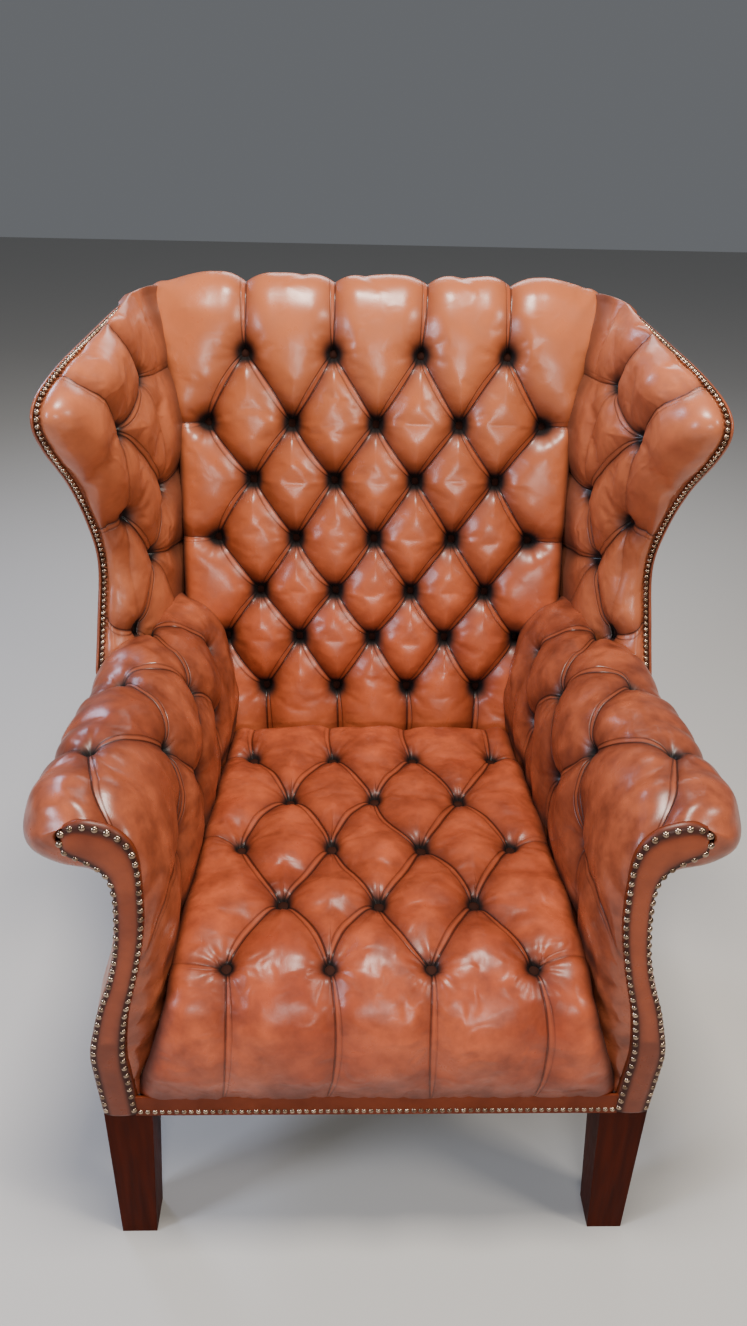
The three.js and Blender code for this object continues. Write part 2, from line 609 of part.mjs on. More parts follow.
// The seat's stuffing sits on the canvas, and its front lip on the front rail.
const seatLip = [[66, SEAT_UNDERSIDE], [66, RAIL_TOP + GAP], [-GAP, RAIL_TOP + GAP]];
const seatHollow = seatSolid(HIDE, 200, [[0, 200]]);
const seatCover = seatSolid(0, SEAT_UNDERSIDE, [...seatLip, [-GAP, 271]]).subtract(seatHollow);
add(body, 'seat_cover', seatCover, MATERIAL.leather);
add(body, 'seat_pad', seatSolid(HIDE + GAP, SEAT_UNDERSIDE, seatLip), MATERIAL.stuffing);
add(body, 'back_cover', backCover, MATERIAL.leather);
add(body, 'back_pad', backPad, MATERIAL.stuffing);
add(body, 'outside_back', outsideBack(), MATERIAL.leather);

const BORDER = { half: 291, front: -4, top: 270, nails: RAIL_BOTTOM + 2.5 };
add(body, 'front_border', box([-BORDER.half, BORDER.front, TRIM_FOOT], [BORDER.half, -GAP, BORDER.top]),
  MATERIAL.leather);

const frontNailLine = [-288, -96, 96, 288].map((x) => new THREE.Vector3(x, BORDER.front - GAP, BORDER.nails));
const FORWARD = new THREE.Vector3(0, -1, 0);
add(body, 'front_nails', nailRow(frontNailLine, frontNailLine.map(() => FORWARD)), MATERIAL.antiqueBrass);

function facingNails() {
  const line = [...smooth(FACING_OUTER, FACING_STEPS), ...smooth(FACING_INNER, FACING_STEPS)];
  const points = line.map((p) => new THREE.Vector3(p.x, -FACING_THICK - GAP, p.y));
  return nailRow(points, points.map(() => FORWARD));
}

// The wing's heads sit on its rim, facing forwards and up along the outline.
function wingNails() {
  const line = inset(smooth(WING_LINE, WING_STEPS), -(WING_RIM[0][1] + 2 * GAP)).filter((p) => p.y > 618);
  const points = line.map((p) => onWing(p, NAIL_HEAD / 2 + 0.5));
  const outwards = line.map((p, i) => {
    const before = line[Math.max(i - 1, 0)];
    const after = line[Math.min(i + 1, line.length - 1)];
    const along = after.clone().sub(before).normalize();
    return new THREE.Vector3(0, -along.y, along.x);
  });
  return nailRow(points, outwards);
}

for (const [side, hand] of [['right', 1], ['left', -1]]) {
  const half = new THREE.Group();
  half.scale.x = hand;
  body.add(half);
  add(half, `front_leg_${side}`, frontLeg(), MATERIAL.mahogany);
  add(half, `rear_leg_${side}`, rearLeg(), MATERIAL.mahogany);
  add(half, `side_rail_${side}`, sideRail(), MATERIAL.beech);
  add(half, `corner_block_front_${side}`, frontCornerBlock(), MATERIAL.beech);
  add(half, `corner_block_rear_${side}`, rearCornerBlock(), MATERIAL.beech);
  add(half, `arm_post_${side}`, armPost(), MATERIAL.beech);
  add(half, `arm_board_${side}`, armBoard(0).intersect(frontOfPosts), MATERIAL.beech);
  add(half, `arm_pad_${side}`, armPad, MATERIAL.stuffing);
  add(half, `arm_cover_${side}`, armCover, MATERIAL.leather);
  add(half, `arm_facing_${side}`, armFacing(), MATERIAL.leather);
  add(half, `arm_nails_${side}`, facingNails(), MATERIAL.antiqueBrass);
  add(half, `wing_post_${side}`, wingPost, MATERIAL.beech);
  add(half, `wing_rail_${side}`, wingRail, MATERIAL.beech);
  add(half, `wing_pad_${side}`, wingPad, MATERIAL.stuffing);
  add(half, `wing_cover_${side}`, wingCover, MATERIAL.leather);
  add(half, `wing_nails_${side}`, wingNails(), MATERIAL.antiqueBrass);
  add(half, `outside_arm_${side}`, outsideArm(), MATERIAL.leather);
  add(half, `outside_wing_${side}`, outsideWing(), MATERIAL.leather);
}

export default chair;
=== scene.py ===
"""A deep-buttoned leather wing armchair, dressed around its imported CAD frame.

Metres, +Z up, +X to the right as seen from the front. Lengths called s are distances behind the front
plane of the legs, so a point (x, s, z) stands at (x, FRONT + s, z).
"""
import math

import bmesh
import bpy
import numpy as np
from mathutils import Matrix, Vector


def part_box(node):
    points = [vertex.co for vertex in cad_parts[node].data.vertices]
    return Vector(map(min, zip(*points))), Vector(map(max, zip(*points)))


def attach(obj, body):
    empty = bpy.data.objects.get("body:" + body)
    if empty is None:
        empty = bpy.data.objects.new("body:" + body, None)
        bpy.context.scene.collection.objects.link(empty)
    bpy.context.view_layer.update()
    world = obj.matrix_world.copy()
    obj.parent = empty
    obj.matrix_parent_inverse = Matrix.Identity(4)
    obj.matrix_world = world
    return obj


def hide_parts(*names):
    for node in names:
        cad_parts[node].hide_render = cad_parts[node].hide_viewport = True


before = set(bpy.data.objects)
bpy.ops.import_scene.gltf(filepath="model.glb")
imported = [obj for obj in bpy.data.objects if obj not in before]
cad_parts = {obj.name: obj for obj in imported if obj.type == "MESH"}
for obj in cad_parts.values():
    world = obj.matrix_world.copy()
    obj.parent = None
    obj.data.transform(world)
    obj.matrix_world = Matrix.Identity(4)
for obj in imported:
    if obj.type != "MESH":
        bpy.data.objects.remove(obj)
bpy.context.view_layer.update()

# ---- Driving dimensions ----

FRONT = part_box("front_leg_right")[0][1]     # y of the front plane of the legs
RAIL_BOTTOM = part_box("side_rail_right")[0][2]
CELL = 0.0026                               # spacing of the surface points on the upholstery
BACKING = 8                                 # cells of the surface per cell of a panel's hidden backing
RAKE, RAKE_S, RAKE_Z = 0.2245, 0.600, 0.490  # slope of the back, and a point of its button plane
NAILS = {"wing": (0.0082, 0.0037), "facing": (0.0123, 0.0043), "border": (0.0085, 0.0034)}  # pitch, radius
NAIL_BAND = 0.0052                          # half the width of the painted shade on the leather under a row of nails

rng = np.random.default_rng(7)


def place(x, s, z):
    """Points of the frame from widths, distances behind the legs' front, and heights."""
    return np.stack(np.broadcast_arrays(x, np.asarray(s) + FRONT, z), axis=-1).astype(float)


def raked(depth, z):
    """Distance behind the front, for a depth behind the back's button plane at a height."""
    return RAKE_S + RAKE * (z - RAKE_Z) + depth


def sided(points, mirrored):
    """Points of the right side, or the same points on the left."""
    return points * [-1, 1, 1] if mirrored else points


def ease(t):
    t = np.clip(t, 0.0, 1.0)
    return t * t * (3 - 2 * t)


# ---- Curves ----

def spline(points, count):
    """Points spaced evenly along a smooth curve through a few given ones."""
    p = np.asarray(points, float)
    ends = [2 * p[0] - p[1], *p, 2 * p[-1] - p[-2]]
    steps = np.linspace(0, 1, 24, endpoint=False)[:, None]
    fine = []
    for a, b, c, d in zip(ends[:-3], ends[1:-2], ends[2:-1], ends[3:]):
        fine.append(0.5 * (2 * b + (c - a) * steps + (2 * a - 5 * b + 4 * c - d) * steps ** 2
                           + (3 * b - a - 3 * c + d) * steps ** 3))
    return resample(np.vstack([*fine, p[-1:]]), count)


def arc_lengths(points):
    return np.concatenate([[0.0], np.cumsum(np.linalg.norm(np.diff(points, axis=0), axis=1))])


def at_lengths(points, lengths):
    own = arc_lengths(points)
    return np.stack([np.interp(lengths, own, column) for column in points.T], axis=1)


def resample(points, count):
    return at_lengths(points, np.linspace(0, arc_lengths(points)[-1], count))


def sideways(line):
    """Unit directions to the left of a line's heading, in its own plane."""
    heading = np.gradient(line, axis=0)
    heading /= np.linalg.norm(heading, axis=1, keepdims=True)
    return np.stack([-heading[:, 1], heading[:, 0]], axis=1)


def count_for(length):
    """Number of surface points for a length, fitting the coarse backing grid."""
    return int(round(length / CELL / BACKING)) * BACKING + 1


# ---- Meshes ----

def mesh_object(name, points, faces, material, smooth=True):
    mesh = bpy.data.meshes.new(name)
    mesh.from_pydata([tuple(p) for p in points], [], faces)
    mesh.materials.append(material)
    mesh.polygons.foreach_set("use_smooth", [smooth] * len(mesh.polygons))
    mesh.update()
    piece = bpy.data.objects.new(name, mesh)
    bpy.context.collection.objects.link(piece)
    return piece


def make_outward(piece):
    """Turns a closed mesh's faces outward."""
    made = bmesh.new()
    made.from_mesh(piece.data)
    bmesh.ops.recalc_face_normals(made, faces=made.faces)
    made.to_mesh(piece.data)
    made.free()


def store(piece, name, values):
    """A number for every point of a mesh, for its material to read."""
    attribute = piece.data.attributes.new(name, "FLOAT", "POINT")
    attribute.data.foreach_set("value", np.asarray(values, np.float32).ravel())


def finish_piece(piece, slot, *nodes):
    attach(piece, "root")
    if nodes:
        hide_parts(*nodes)


def grid_faces(rows, columns):
    i, j = np.meshgrid(np.arange(rows - 1), np.arange(columns - 1), indexing="ij")
    a = (i * columns + j).ravel()
    return np.stack([a, a + columns, a + columns + 1, a + 1], axis=1).tolist()


def grid_normals(grid):
    normal = np.cross(np.gradient(grid, axis=0), np.gradient(grid, axis=1))
    return normal / np.maximum(np.linalg.norm(normal, axis=-1, keepdims=True), 1e-12)


def faces_away(points, face, outward):
    """Whether a face, a list of points in order, turns its back on a direction."""
    a, b, c = (points[i] for i in face[:3])
    return np.dot(np.cross(b - a, c - b), outward) < 0


def backing(grid, inside, first):
    """Coarse faces that close a panel behind, and their own points inside its border."""
    rows, columns = grid.shape[:2]
    down, over = (rows - 1) // BACKING, (columns - 1) // BACKING
    points, index = [], {}
    for i in range(1, down):
        for j in range(1, over):
            index[i, j] = first + len(points)
            points.append(inside[i * BACKING, j * BACKING])

    def side(i0, j0, i1, j1):
        """Points from one corner up to the next, all of them where the side lies on the border."""
        border = (i0 == i1 and i0 in (0, down)) or (j0 == j1 and j0 in (0, over))
        if not border:
            return [index.get((i0, j0), i0 * BACKING * columns + j0 * BACKING)]
        steps = [(i0 * BACKING + (i1 - i0) * k, j0 * BACKING + (j1 - j0) * k) for k in range(BACKING)]
        return [i * columns + j for i, j in steps]

    faces = []
    for i in range(down):
        for j in range(over):
            faces.append(side(i, j, i, j + 1) + side(i, j + 1, i + 1, j + 1)
                         + side(i + 1, j + 1, i + 1, j) + side(i + 1, j, i, j))
    return points, faces


def panel(name, grid, outward, depth, shades, material, mirrored):
    """An upholstered panel: its shown face, and a coarse backing that closes it."""
    rows, columns = grid.shape[:2]
    extra, back_faces = backing(grid, grid - outward * depth, rows * columns)
    points = np.vstack([grid.reshape(-1, 3), np.asarray(extra)])
    faces = grid_faces(rows, columns) + back_faces
    sample = (rows // 2) * columns + columns // 2
    corner = (sample, sample + columns, sample + columns + 1)
    if faces_away(points, corner, outward[rows // 2, columns // 2]) != mirrored:
        faces = [face[::-1] for face in faces]
    piece = mesh_object(name, sided(points, mirrored), faces, material)
    for key, values in shades.items():
        store(piece, key, np.concatenate([values.ravel(), np.zeros(len(extra))]))
    return piece


def double_sheet(name, front, rear, material, mirrored=False):
    """A thin closed piece between two grids of points that share their borders' outline."""
    rows, columns = front.shape[:2]
    size = rows * columns
    points = np.vstack([front.reshape(-1, 3), rear.reshape(-1, 3)])
    faces = grid_faces(rows, columns)
    faces += [[i + size for i in reversed(face)] for face in faces]
    border = [*range(columns), *(i * columns + columns - 1 for i in range(1, rows)),
              *((rows - 1) * columns + j for j in range(columns - 2, -1, -1)),
              *(i * columns for i in range(rows - 2, 0, -1))]
    faces += [(a, b, b + size, a + size) for a, b in zip(border, border[1:] + border[:1])]
    piece = mesh_object(name, sided(points, mirrored), faces, material)
    make_outward(piece)
    return piece


def domes(spots, ways, scales, profile, sides):
    """Turned domes in one mesh, one for each spot; the profile (radius, height) starts at the top."""
    made, faces = [], []
    for spot, way, scale in zip(spots, ways, scales):
        turn = Vector(way).to_track_quat("Z", "X").to_matrix()
        top = len(made)
        made.append(Vector(spot) + turn @ Vector((0, 0, profile[0][1])))
        for radius, height in profile[1:]:
            for k in range(sides):
                angle = 2 * math.pi * k / sides
                local = Vector((radius * math.cos(angle), radius * math.sin(angle), height))
                made.append(Vector(spot) + turn @ local * scale)
        rings = np.arange(top + 1, len(made)).reshape(-1, sides).tolist()
        for k in range(sides):
            following = (k + 1) % sides
            faces.append((top, rings[0][k], rings[0][following]))
            for high, low in zip(rings, rings[1:]):
                faces.append((high[k], low[k], low[following], high[following]))
        faces.append(rings[-1][::-1])
    return made, faces


# ---- Tufting ----

FOLD_WIDTH = 0.0078                         # between the two lines of a pleat, halfway along it
MARK_REACH = 0.012                          # side distance at which the marks of a pleat end


def lattice(rows_of_buttons):
    """Buttons in staggered rows, and the pleats that join neighbours of rows next to each other."""
    buttons = [button for row in rows_of_buttons for button in row]
    pleats = []
    for lower, upper in zip(rows_of_buttons, rows_of_buttons[1:]):
        reach = 0.75 * abs(lower[1][0] - lower[0][0])
        pleats += [(a, b) for a in lower for b in upper if abs(a[0] - b[0]) < reach]
    return buttons, pleats


def centred_row(count, spacing, v):
    return [((k - (count - 1) / 2) * spacing, v) for k in range(count)]


def side_pleats(rows_of_buttons, end, rise, strength):
    """Pleats from the outermost buttons of some rows out to the panel's two sides."""
    return [((sign * abs(row[0][0]), row[0][1]), (sign * end, row[0][1] + rise), strength)
            for row in rows_of_buttons for sign in (-1, 1)]


def beside(q, start, end, bow):
    """Along a slightly bowed pleat: the share of its length, the signed side distance, the distance."""
    start, end = np.asarray(start, float), np.asarray(end, float)
    along = end - start
    length = np.linalg.norm(along)
    relative = q - start
    raw = (relative @ along) / length ** 2
    t = np.clip(raw, 0, 1)
    side = (along[0] * relative[..., 1] - along[1] * relative[..., 0]) / length
    side = side - bow * length * 4 * t * (1 - t)
    return t, side, np.hypot(side, (raw - t) * length)


def tufted(q, buttons, pleats, pillow, span, sink, hole, reach, gather, soft, bows):
    """Height of buttoned leather below its crown, and the marks that its material reads.

    q are the flat positions of the surface points; pleats join buttons to each other or to the border, some
    with a strength under 1. Each shows as two lines: the crease and the edge of the leather folded over it.
    Pillow is the drop from a crown to the pleats, over a distance of span. At a button the leather sinks
    further, and into a hole of the radius reach with gathers round it. Soft is the stuffing's unevenness.
    """
    draws = np.random.default_rng(len(buttons) + len(pleats))
    nearest, r = np.full((2, *q.shape[:-1]), 1.0)
    crease, lap, firm, angle, own = np.zeros((5, *q.shape[:-1]))
    for start, end, *strength in pleats:
        weight = strength[0] if strength else 1.0
        t, side, d = beside(q, start, end, bows * draws.uniform(-1, 1))
        d = d + (1 - weight) * span * (0.25 + 0.75 * t)
        fold_width = FOLD_WIDTH * np.sqrt(np.clip(np.sin(np.pi * t), 0, 1))
        closer = d < nearest
        nearest = np.where(closer, d, nearest)
        crease = np.where(closer, side, crease)
        lap = np.where(closer, side - fold_width, lap)
        firm = np.where(closer, weight, firm)
    for number, button in enumerate(buttons):
        relative = q - np.asarray(button, float)
        d = np.linalg.norm(relative, axis=-1)
        closer = d < r
        r = np.where(closer, d, r)
        angle = np.where(closer, np.arctan2(relative[..., 1], relative[..., 0]), angle)
        own = np.where(closer, number * 1.7, own)
    dome = pillow * (1 - np.clip(nearest / span, 0, 1)) ** 2.0
    well = sink * np.exp(-r / 0.030) + hole * np.exp(-(r / reach) ** 1.6)
    gathers = gather * np.exp(-r / 0.024) * (1 - np.exp(-(r / 0.013) ** 2))
    gathers = gathers * (np.cos(9 * angle + own) + 0.8 * np.cos(14 * angle + 2.3 * own))
    height = -dome - well + gathers + soft * swell(q, draws)
    # Painted shade: near-black in each button's hole, darker round the buttons and along the pleats;
    # darkening is wear and painted shade at the same places.
    hollow = np.exp(-(r / (1.02 * reach)) ** 3.0)
    shade = 0.30 * np.exp(-r / 0.020) + (0.16 + 0.9 * np.exp(-r / 0.016)) * np.exp(-nearest / 0.005)
    darkening = 0.85 * np.exp(-nearest / 0.011) + 0.55 * np.exp(-r / 0.022)
    marks = {"painted_shade": np.clip(0.97 * hollow + shade, 0, 1), "wear_and_shade": np.clip(darkening, 0, 1),
             "crease": np.clip(crease / MARK_REACH, -1, 1), "lap": np.clip(lap / MARK_REACH, -1, 1),
             "firm": firm * np.exp(-(nearest / 0.010) ** 2)}
    return height, marks


def shaded(marks, darkness):
    """Darkens the leather with painted shade where it meets its neighbour in a deep gap."""
    marks["painted_shade"] = np.maximum(marks["painted_shade"], darkness)


def swell(q, draws):
    """Gentle unevenness of stuffing under leather: a few long waves, about 1 high."""
    total = np.zeros(q.shape[:-1])
    for _ in range(9):
        heading, length = draws.uniform(0, math.pi), draws.uniform(0.035, 0.12)
        wave = (q[..., 0] * math.cos(heading) + q[..., 1] * math.sin(heading)) * 2 * math.pi / length
        total += np.sin(wave + draws.uniform(0, 6.28)) * math.sqrt(length)
    return total


def rolled(distance, radius, depth):
    """How far a rounded border has dropped at a distance from its edge."""
    t = 1 - np.clip(distance / radius, 0, 1)
    return depth * (1 - np.sqrt(np.clip(1 - t * t, 0, 1)))


def laid_out(line, width):
    """A panel along a line of (s, z): the columns v, s and z along it, and a row from -1 to 1 across it."""
    length = arc_lengths(line)[-1]
    v = np.linspace(0, length, count_for(length))
    s, z = at_lengths(line, v).T
    return v[:, None], s[:, None], z[:, None], np.linspace(-1, 1, count_for(width))[None, :]


# ---- Materials ----

def new_material(name):
    """A new material, its node tree, and the position in the object."""
    material = bpy.data.materials.new(name)
    material.use_nodes = True
    tree = material.node_tree
    return material, tree, node(tree, "ShaderNodeTexCoord").outputs["Object"]


def feed(tree, made, links):
    """Gives a node its inputs by name: values, or outputs of other nodes."""
    for key, value in links.items():
        if isinstance(value, bpy.types.NodeSocket):
            tree.links.new(value, made.inputs[key])
        else:
            made.inputs[key].default_value = value


def node(tree, kind, links=None, **settings):
    """A new shader node with its inputs and options."""
    made = tree.nodes.new(kind)
    for key, value in settings.items():
        setattr(made, key, value)
    feed(tree, made, links or {})
    return made


def set_shader(tree, colour, **links):
    """Gives the material's shader its colour and its other inputs, with _ for the blanks in their names."""
    shader = tree.nodes["Principled BSDF"]
    feed(tree, shader, {"Base Color": colour})
    feed(tree, shader, {key.replace("_", " "): value for key, value in links.items()})


def ramp(tree, factor, *stops):
    """A colour ramp from (position, colour) stops; a number stands for a grey."""
    made = node(tree, "ShaderNodeValToRGB", {"Fac": factor})
    elements = made.color_ramp.elements
    while len(elements) < len(stops):
        elements.new(0.5)
    for element, (position, colour) in zip(elements, stops):
        element.position = position
        element.color = (*colour, 1) if isinstance(colour, tuple) else (colour, colour, colour, 1)
    return made.outputs["Color"]


def mix(tree, factor, first, second):
    """A mix of two colours: outputs of nodes or tuples."""
    first, second = ((*value, 1) if isinstance(value, tuple) else value for value in (first, second))
    return node(tree, "ShaderNodeMix", {0: factor, 6: first, 7: second}, data_type="RGBA").outputs[2]


def darker(colour, share):
    return tuple(share * c for c in colour)


def calc(tree, operation, first, second=0.0):
    return node(tree, "ShaderNodeMath", {0: first, 1: second}, operation=operation).outputs[0]


def times(tree, first, second):
    return calc(tree, "MULTIPLY", first, second)


def noise(tree, where, scale, detail=4.0, roughness=0.55):
    links = {"Vector": where, "Scale": scale, "Detail": detail, "Roughness": roughness}
    return node(tree, "ShaderNodeTexNoise", links).outputs["Fac"]


def bump(tree, height, strength, distance, below=None):
    """A normal with relief of a height in metres, on top of the normal below."""
    links = {"Height": height, "Strength": strength, "Distance": distance}
    if below:
        links["Normal"] = below
    return node(tree, "ShaderNodeBump", links).outputs[0]


def leather(name, light, middle, dark, roughness, creasing, coat, browned=None, mottle=0.38, shine=0.30):
    """Glazed antique leather: mottled, darker in its folds with wear and painted shade, with a painted
    highlight on each pleat's ridge, and a pebbled and creased grain.

    Browned is a list of (height, share) and the colour that takes that share of the leather there.
    """
    material, tree, where = new_material(name)
    mark = {key: node(tree, "ShaderNodeAttribute", attribute_name=key).outputs["Fac"]
            for key in ("painted_shade", "wear_and_shade", "crease", "lap", "firm")}

    def thin_line(distance, width):
        """1 on a pleat's line, falling to 0 at a share of the marks' reach beside it."""
        beside_it = calc(tree, "DIVIDE", calc(tree, "ABSOLUTE", distance), width)
        inside = calc(tree, "SUBTRACT", 1.0, calc(tree, "MINIMUM", beside_it, 1.0))
        return times(tree, calc(tree, "SMOOTH_MIN", inside, 1.0), mark["firm"])

    crease, lap = thin_line(mark["crease"], 0.14), thin_line(mark["lap"], 0.11)
    between = times(tree, calc(tree, "ADD", mark["crease"], mark["lap"]), 0.5)
    painted_ridge_highlight = calc(tree, "SUBTRACT", thin_line(between, 0.24), calc(tree, "MAXIMUM", crease, lap))
    patches = noise(tree, where, 7.0, 5.0, 0.6)
    clouds = noise(tree, where, 26.0, 4.0, 0.6)
    tone = ramp(tree, patches, (0.32, middle), (0.56, light), (0.75, middle))
    tone = mix(tree, ramp(tree, clouds, (0.36, 0.0), (0.70, mottle)), tone, dark)
    if browned:
        height = node(tree, "ShaderNodeSeparateXYZ", {"Vector": where}).outputs["Z"]
        tone = mix(tree, ramp(tree, height, *browned[0]), tone, browned[1])
    # Wear and painted shade from the marks darken the leather, unevenly.
    uneven = calc(tree, "ADD", 0.45, times(tree, clouds, 0.8))
    tone = mix(tree, times(tree, mark["wear_and_shade"], uneven), tone, dark)
    # Painted shade in each pleat's crease and under its folded edge, a painted highlight on the ridge between
    # them, and near-black painted shade in hollows and gaps.
    tone = mix(tree, times(tree, crease, 0.80), tone, darker(dark, 0.20))
    tone = mix(tree, times(tree, lap, 0.85), tone, darker(dark, 0.25))
    tone = mix(tree, times(tree, calc(tree, "MAXIMUM", painted_ridge_highlight, 0.0), 0.7), tone, light)
    tone = mix(tree, mark["painted_shade"], tone, darker(dark, 0.035))

    pores = node(tree, "ShaderNodeTexVoronoi", {"Vector": where, "Scale": 620.0}, feature="SMOOTH_F1")
    cracks = node(tree, "ShaderNodeTexVoronoi", {"Vector": where, "Scale": 210.0}, feature="DISTANCE_TO_EDGE")
    cells = times(tree, calc(tree, "MINIMUM", cracks.outputs["Distance"], 0.12), 2.0)
    grain = calc(tree, "ADD", times(tree, pores.outputs["Distance"], 0.5), cells)
    wrinkles = node(tree, "ShaderNodeTexNoise",
                    {"Vector": where, "Scale": 34.0, "Detail": 4.0, "Roughness": 0.55, "Distortion": 0.8},
                    noise_type="RIDGED_MULTIFRACTAL", normalize=True).outputs["Fac"]
    lines = times(tree, calc(tree, "ADD", crease, times(tree, lap, 0.9)), -1.0)
    relief = bump(tree, grain, 0.14, 0.0006)
    relief = bump(tree, wrinkles, creasing, 0.004, relief)
    relief = bump(tree, lines, 0.9, 0.0016, relief)
    glaze = ramp(tree, clouds, (0.3, roughness - 0.06), (0.7, roughness + 0.10))
    matt_folds = mix(tree, mark["painted_shade"], glaze, (0.85, 0.85, 0.85))
    set_shader(tree, tone, Normal=relief, Roughness=matt_folds, Specular_IOR_Level=shine,
               Coat_Weight=coat, Coat_Roughness=0.27)
    return material


def wood(name, light, dark, roughness, shine=0.5):
    """Wood with long grain up and down."""
    material, tree, where = new_material(name)
    stretched = node(tree, "ShaderNodeMapping", {"Vector": where, "Scale": (1.0, 1.0, 0.09)}).outputs[0]
    grain = noise(tree, stretched, 90.0, 6.0, 0.65)
    streaks = noise(tree, stretched, 360.0, 3.0, 0.6)
    tone = ramp(tree, grain, (0.35, dark), (0.62, light))
    tone = mix(tree, times(tree, streaks, 0.5), tone, dark)
    polish = ramp(tree, streaks, (0.3, roughness), (0.8, roughness + 0.15))
    relief = bump(tree, streaks, 0.12, 0.0006)
    set_shader(tree, tone, Normal=relief, Roughness=polish, Specular_IOR_Level=shine)
    return material


def metal(name, bright, tarnish, roughness):
    material, tree, where = new_material(name)
    spots = noise(tree, where, 60.0, 4.0, 0.6)
    tone = ramp(tree, spots, (0.38, tarnish), (0.62, bright))
    polish = ramp(tree, spots, (0.35, roughness + 0.12), (0.65, roughness))
    set_shader(tree, tone, Roughness=polish, Metallic=1.0)
    return material


def cloth(name, colour, threads):
    """Plain weave: threads both ways, a given number to the metre."""
    material, tree, where = new_material(name)
    waves = [node(tree, "ShaderNodeTexWave", {"Vector": where, "Scale": threads / 6.28, "Distortion": 0.6},
                  bands_direction=way).outputs["Fac"] for way in ("X", "Y")]
    weave = times(tree, waves[0], waves[1])
    fluff = noise(tree, where, 60.0, 3.0)
    tone = mix(tree, weave, darker(colour, 0.55), colour)
    tone = mix(tree, times(tree, fluff, 0.4), tone, darker(colour, 0.7))
    set_shader(tree, tone, Normal=bump(tree, weave, 0.5, 0.0008), Roughness=0.9)
    return material


RED_LEATHER = leather("red_brown_leather", (0.50, 0.110, 0.039), (0.38, 0.074, 0.028), (0.12, 0.020, 0.009),
                      roughness=0.30, creasing=0.20, coat=0.30,
                      browned=(((0.60, 0.0), (0.95, 0.65)), (0.42, 0.130, 0.046)))
SEAT_LEATHER = leather("worn_seat_leather", (0.46, 0.098, 0.038), (0.31, 0.056, 0.023), (0.12, 0.022, 0.010),
                       roughness=0.31, creasing=0.50, coat=0.12, mottle=0.66, shine=0.24)
TAN_LEATHER = leather("tan_leather", (0.46, 0.130, 0.052), (0.35, 0.090, 0.038), (0.12, 0.027, 0.012),
                      roughness=0.34, creasing=0.20, coat=0.30)
ARM_LEATHER = leather("brown_tan_leather", (0.36, 0.090, 0.038), (0.24, 0.055, 0.025), (0.085, 0.018, 0.009),
                      roughness=0.29, creasing=0.20, coat=0.20, mottle=0.75)
# A darker copy of the leather for the buttons: painted shade, as they sit deep in their holes.
SHADED_BUTTON_LEATHER = leather("button_leather", (0.24, 0.060, 0.026), (0.16, 0.040, 0.018), (0.07, 0.015, 0.007),
                         roughness=0.60, creasing=0.10, coat=0.0, shine=0.15)
# A darker copy of the tan leather for the facings: painted shade, as they face forward away from the overhead
# light.
SHADED_FACING_LEATHER = leather("edge_leather", (0.29, 0.060, 0.019), (0.20, 0.038, 0.012), (0.095, 0.014, 0.003),
                       roughness=0.30, creasing=0.12, coat=0.10, shine=0.28)
# A darker copy of the leather for the border strip under the seat's front: painted shade.
SHADED_BORDER_LEATHER = leather("border_leather", (0.17, 0.030, 0.008), (0.12, 0.020, 0.006), (0.05, 0.008, 0.003),
                         roughness=0.45, creasing=0.12, coat=0.0, shine=0.10)
MAHOGANY = wood("mahogany", (0.066, 0.0080, 0.0018), (0.027, 0.0034, 0.0010), 0.42, shine=0.04)
BEECH = wood("beech", (0.60, 0.42, 0.25), (0.45, 0.29, 0.16), 0.6)
NAIL_METAL = metal("antique_nail_metal", (0.47, 0.34, 0.24), (0.17, 0.11, 0.07), 0.18)
SPRING_STEEL = metal("spring_steel", (0.5, 0.5, 0.51), (0.3, 0.3, 0.3), 0.35)
WEBBING = cloth("jute_webbing", (0.52, 0.40, 0.24), 900)
CANVAS = cloth("jute_canvas", (0.58, 0.47, 0.31), 1400)
BLACK_CLOTH = cloth("black_platform_cloth", (0.035, 0.033, 0.03), 2200)


# ---- Seat ----

# Crown line from the front border up and over to the back (s, z), and half the width at each point.
SEAT_LINE = [(-0.001, 0.256), (-0.011, 0.292), (-0.017, 0.340), (-0.009, 0.386), (0.012, 0.422),
             (0.062, 0.449), (0.200, 0.453), (0.400, 0.453), (0.515, 0.449), (0.545, 0.438), (0.556, 0.408)]
SEAT_HALF = [0.2920, 0.2820, 0.2670, 0.2545, 0.2465, 0.2445, 0.2385, 0.2250, 0.2175, 0.2160, 0.2150]
SEAT_ROWS = [0.039, 0.144, 0.249, 0.353, 0.458]     # distances of its rows of buttons
SEAT_COUNTS = [4, 3, 4, 3, 4]
SEAT_SPACING = 0.119


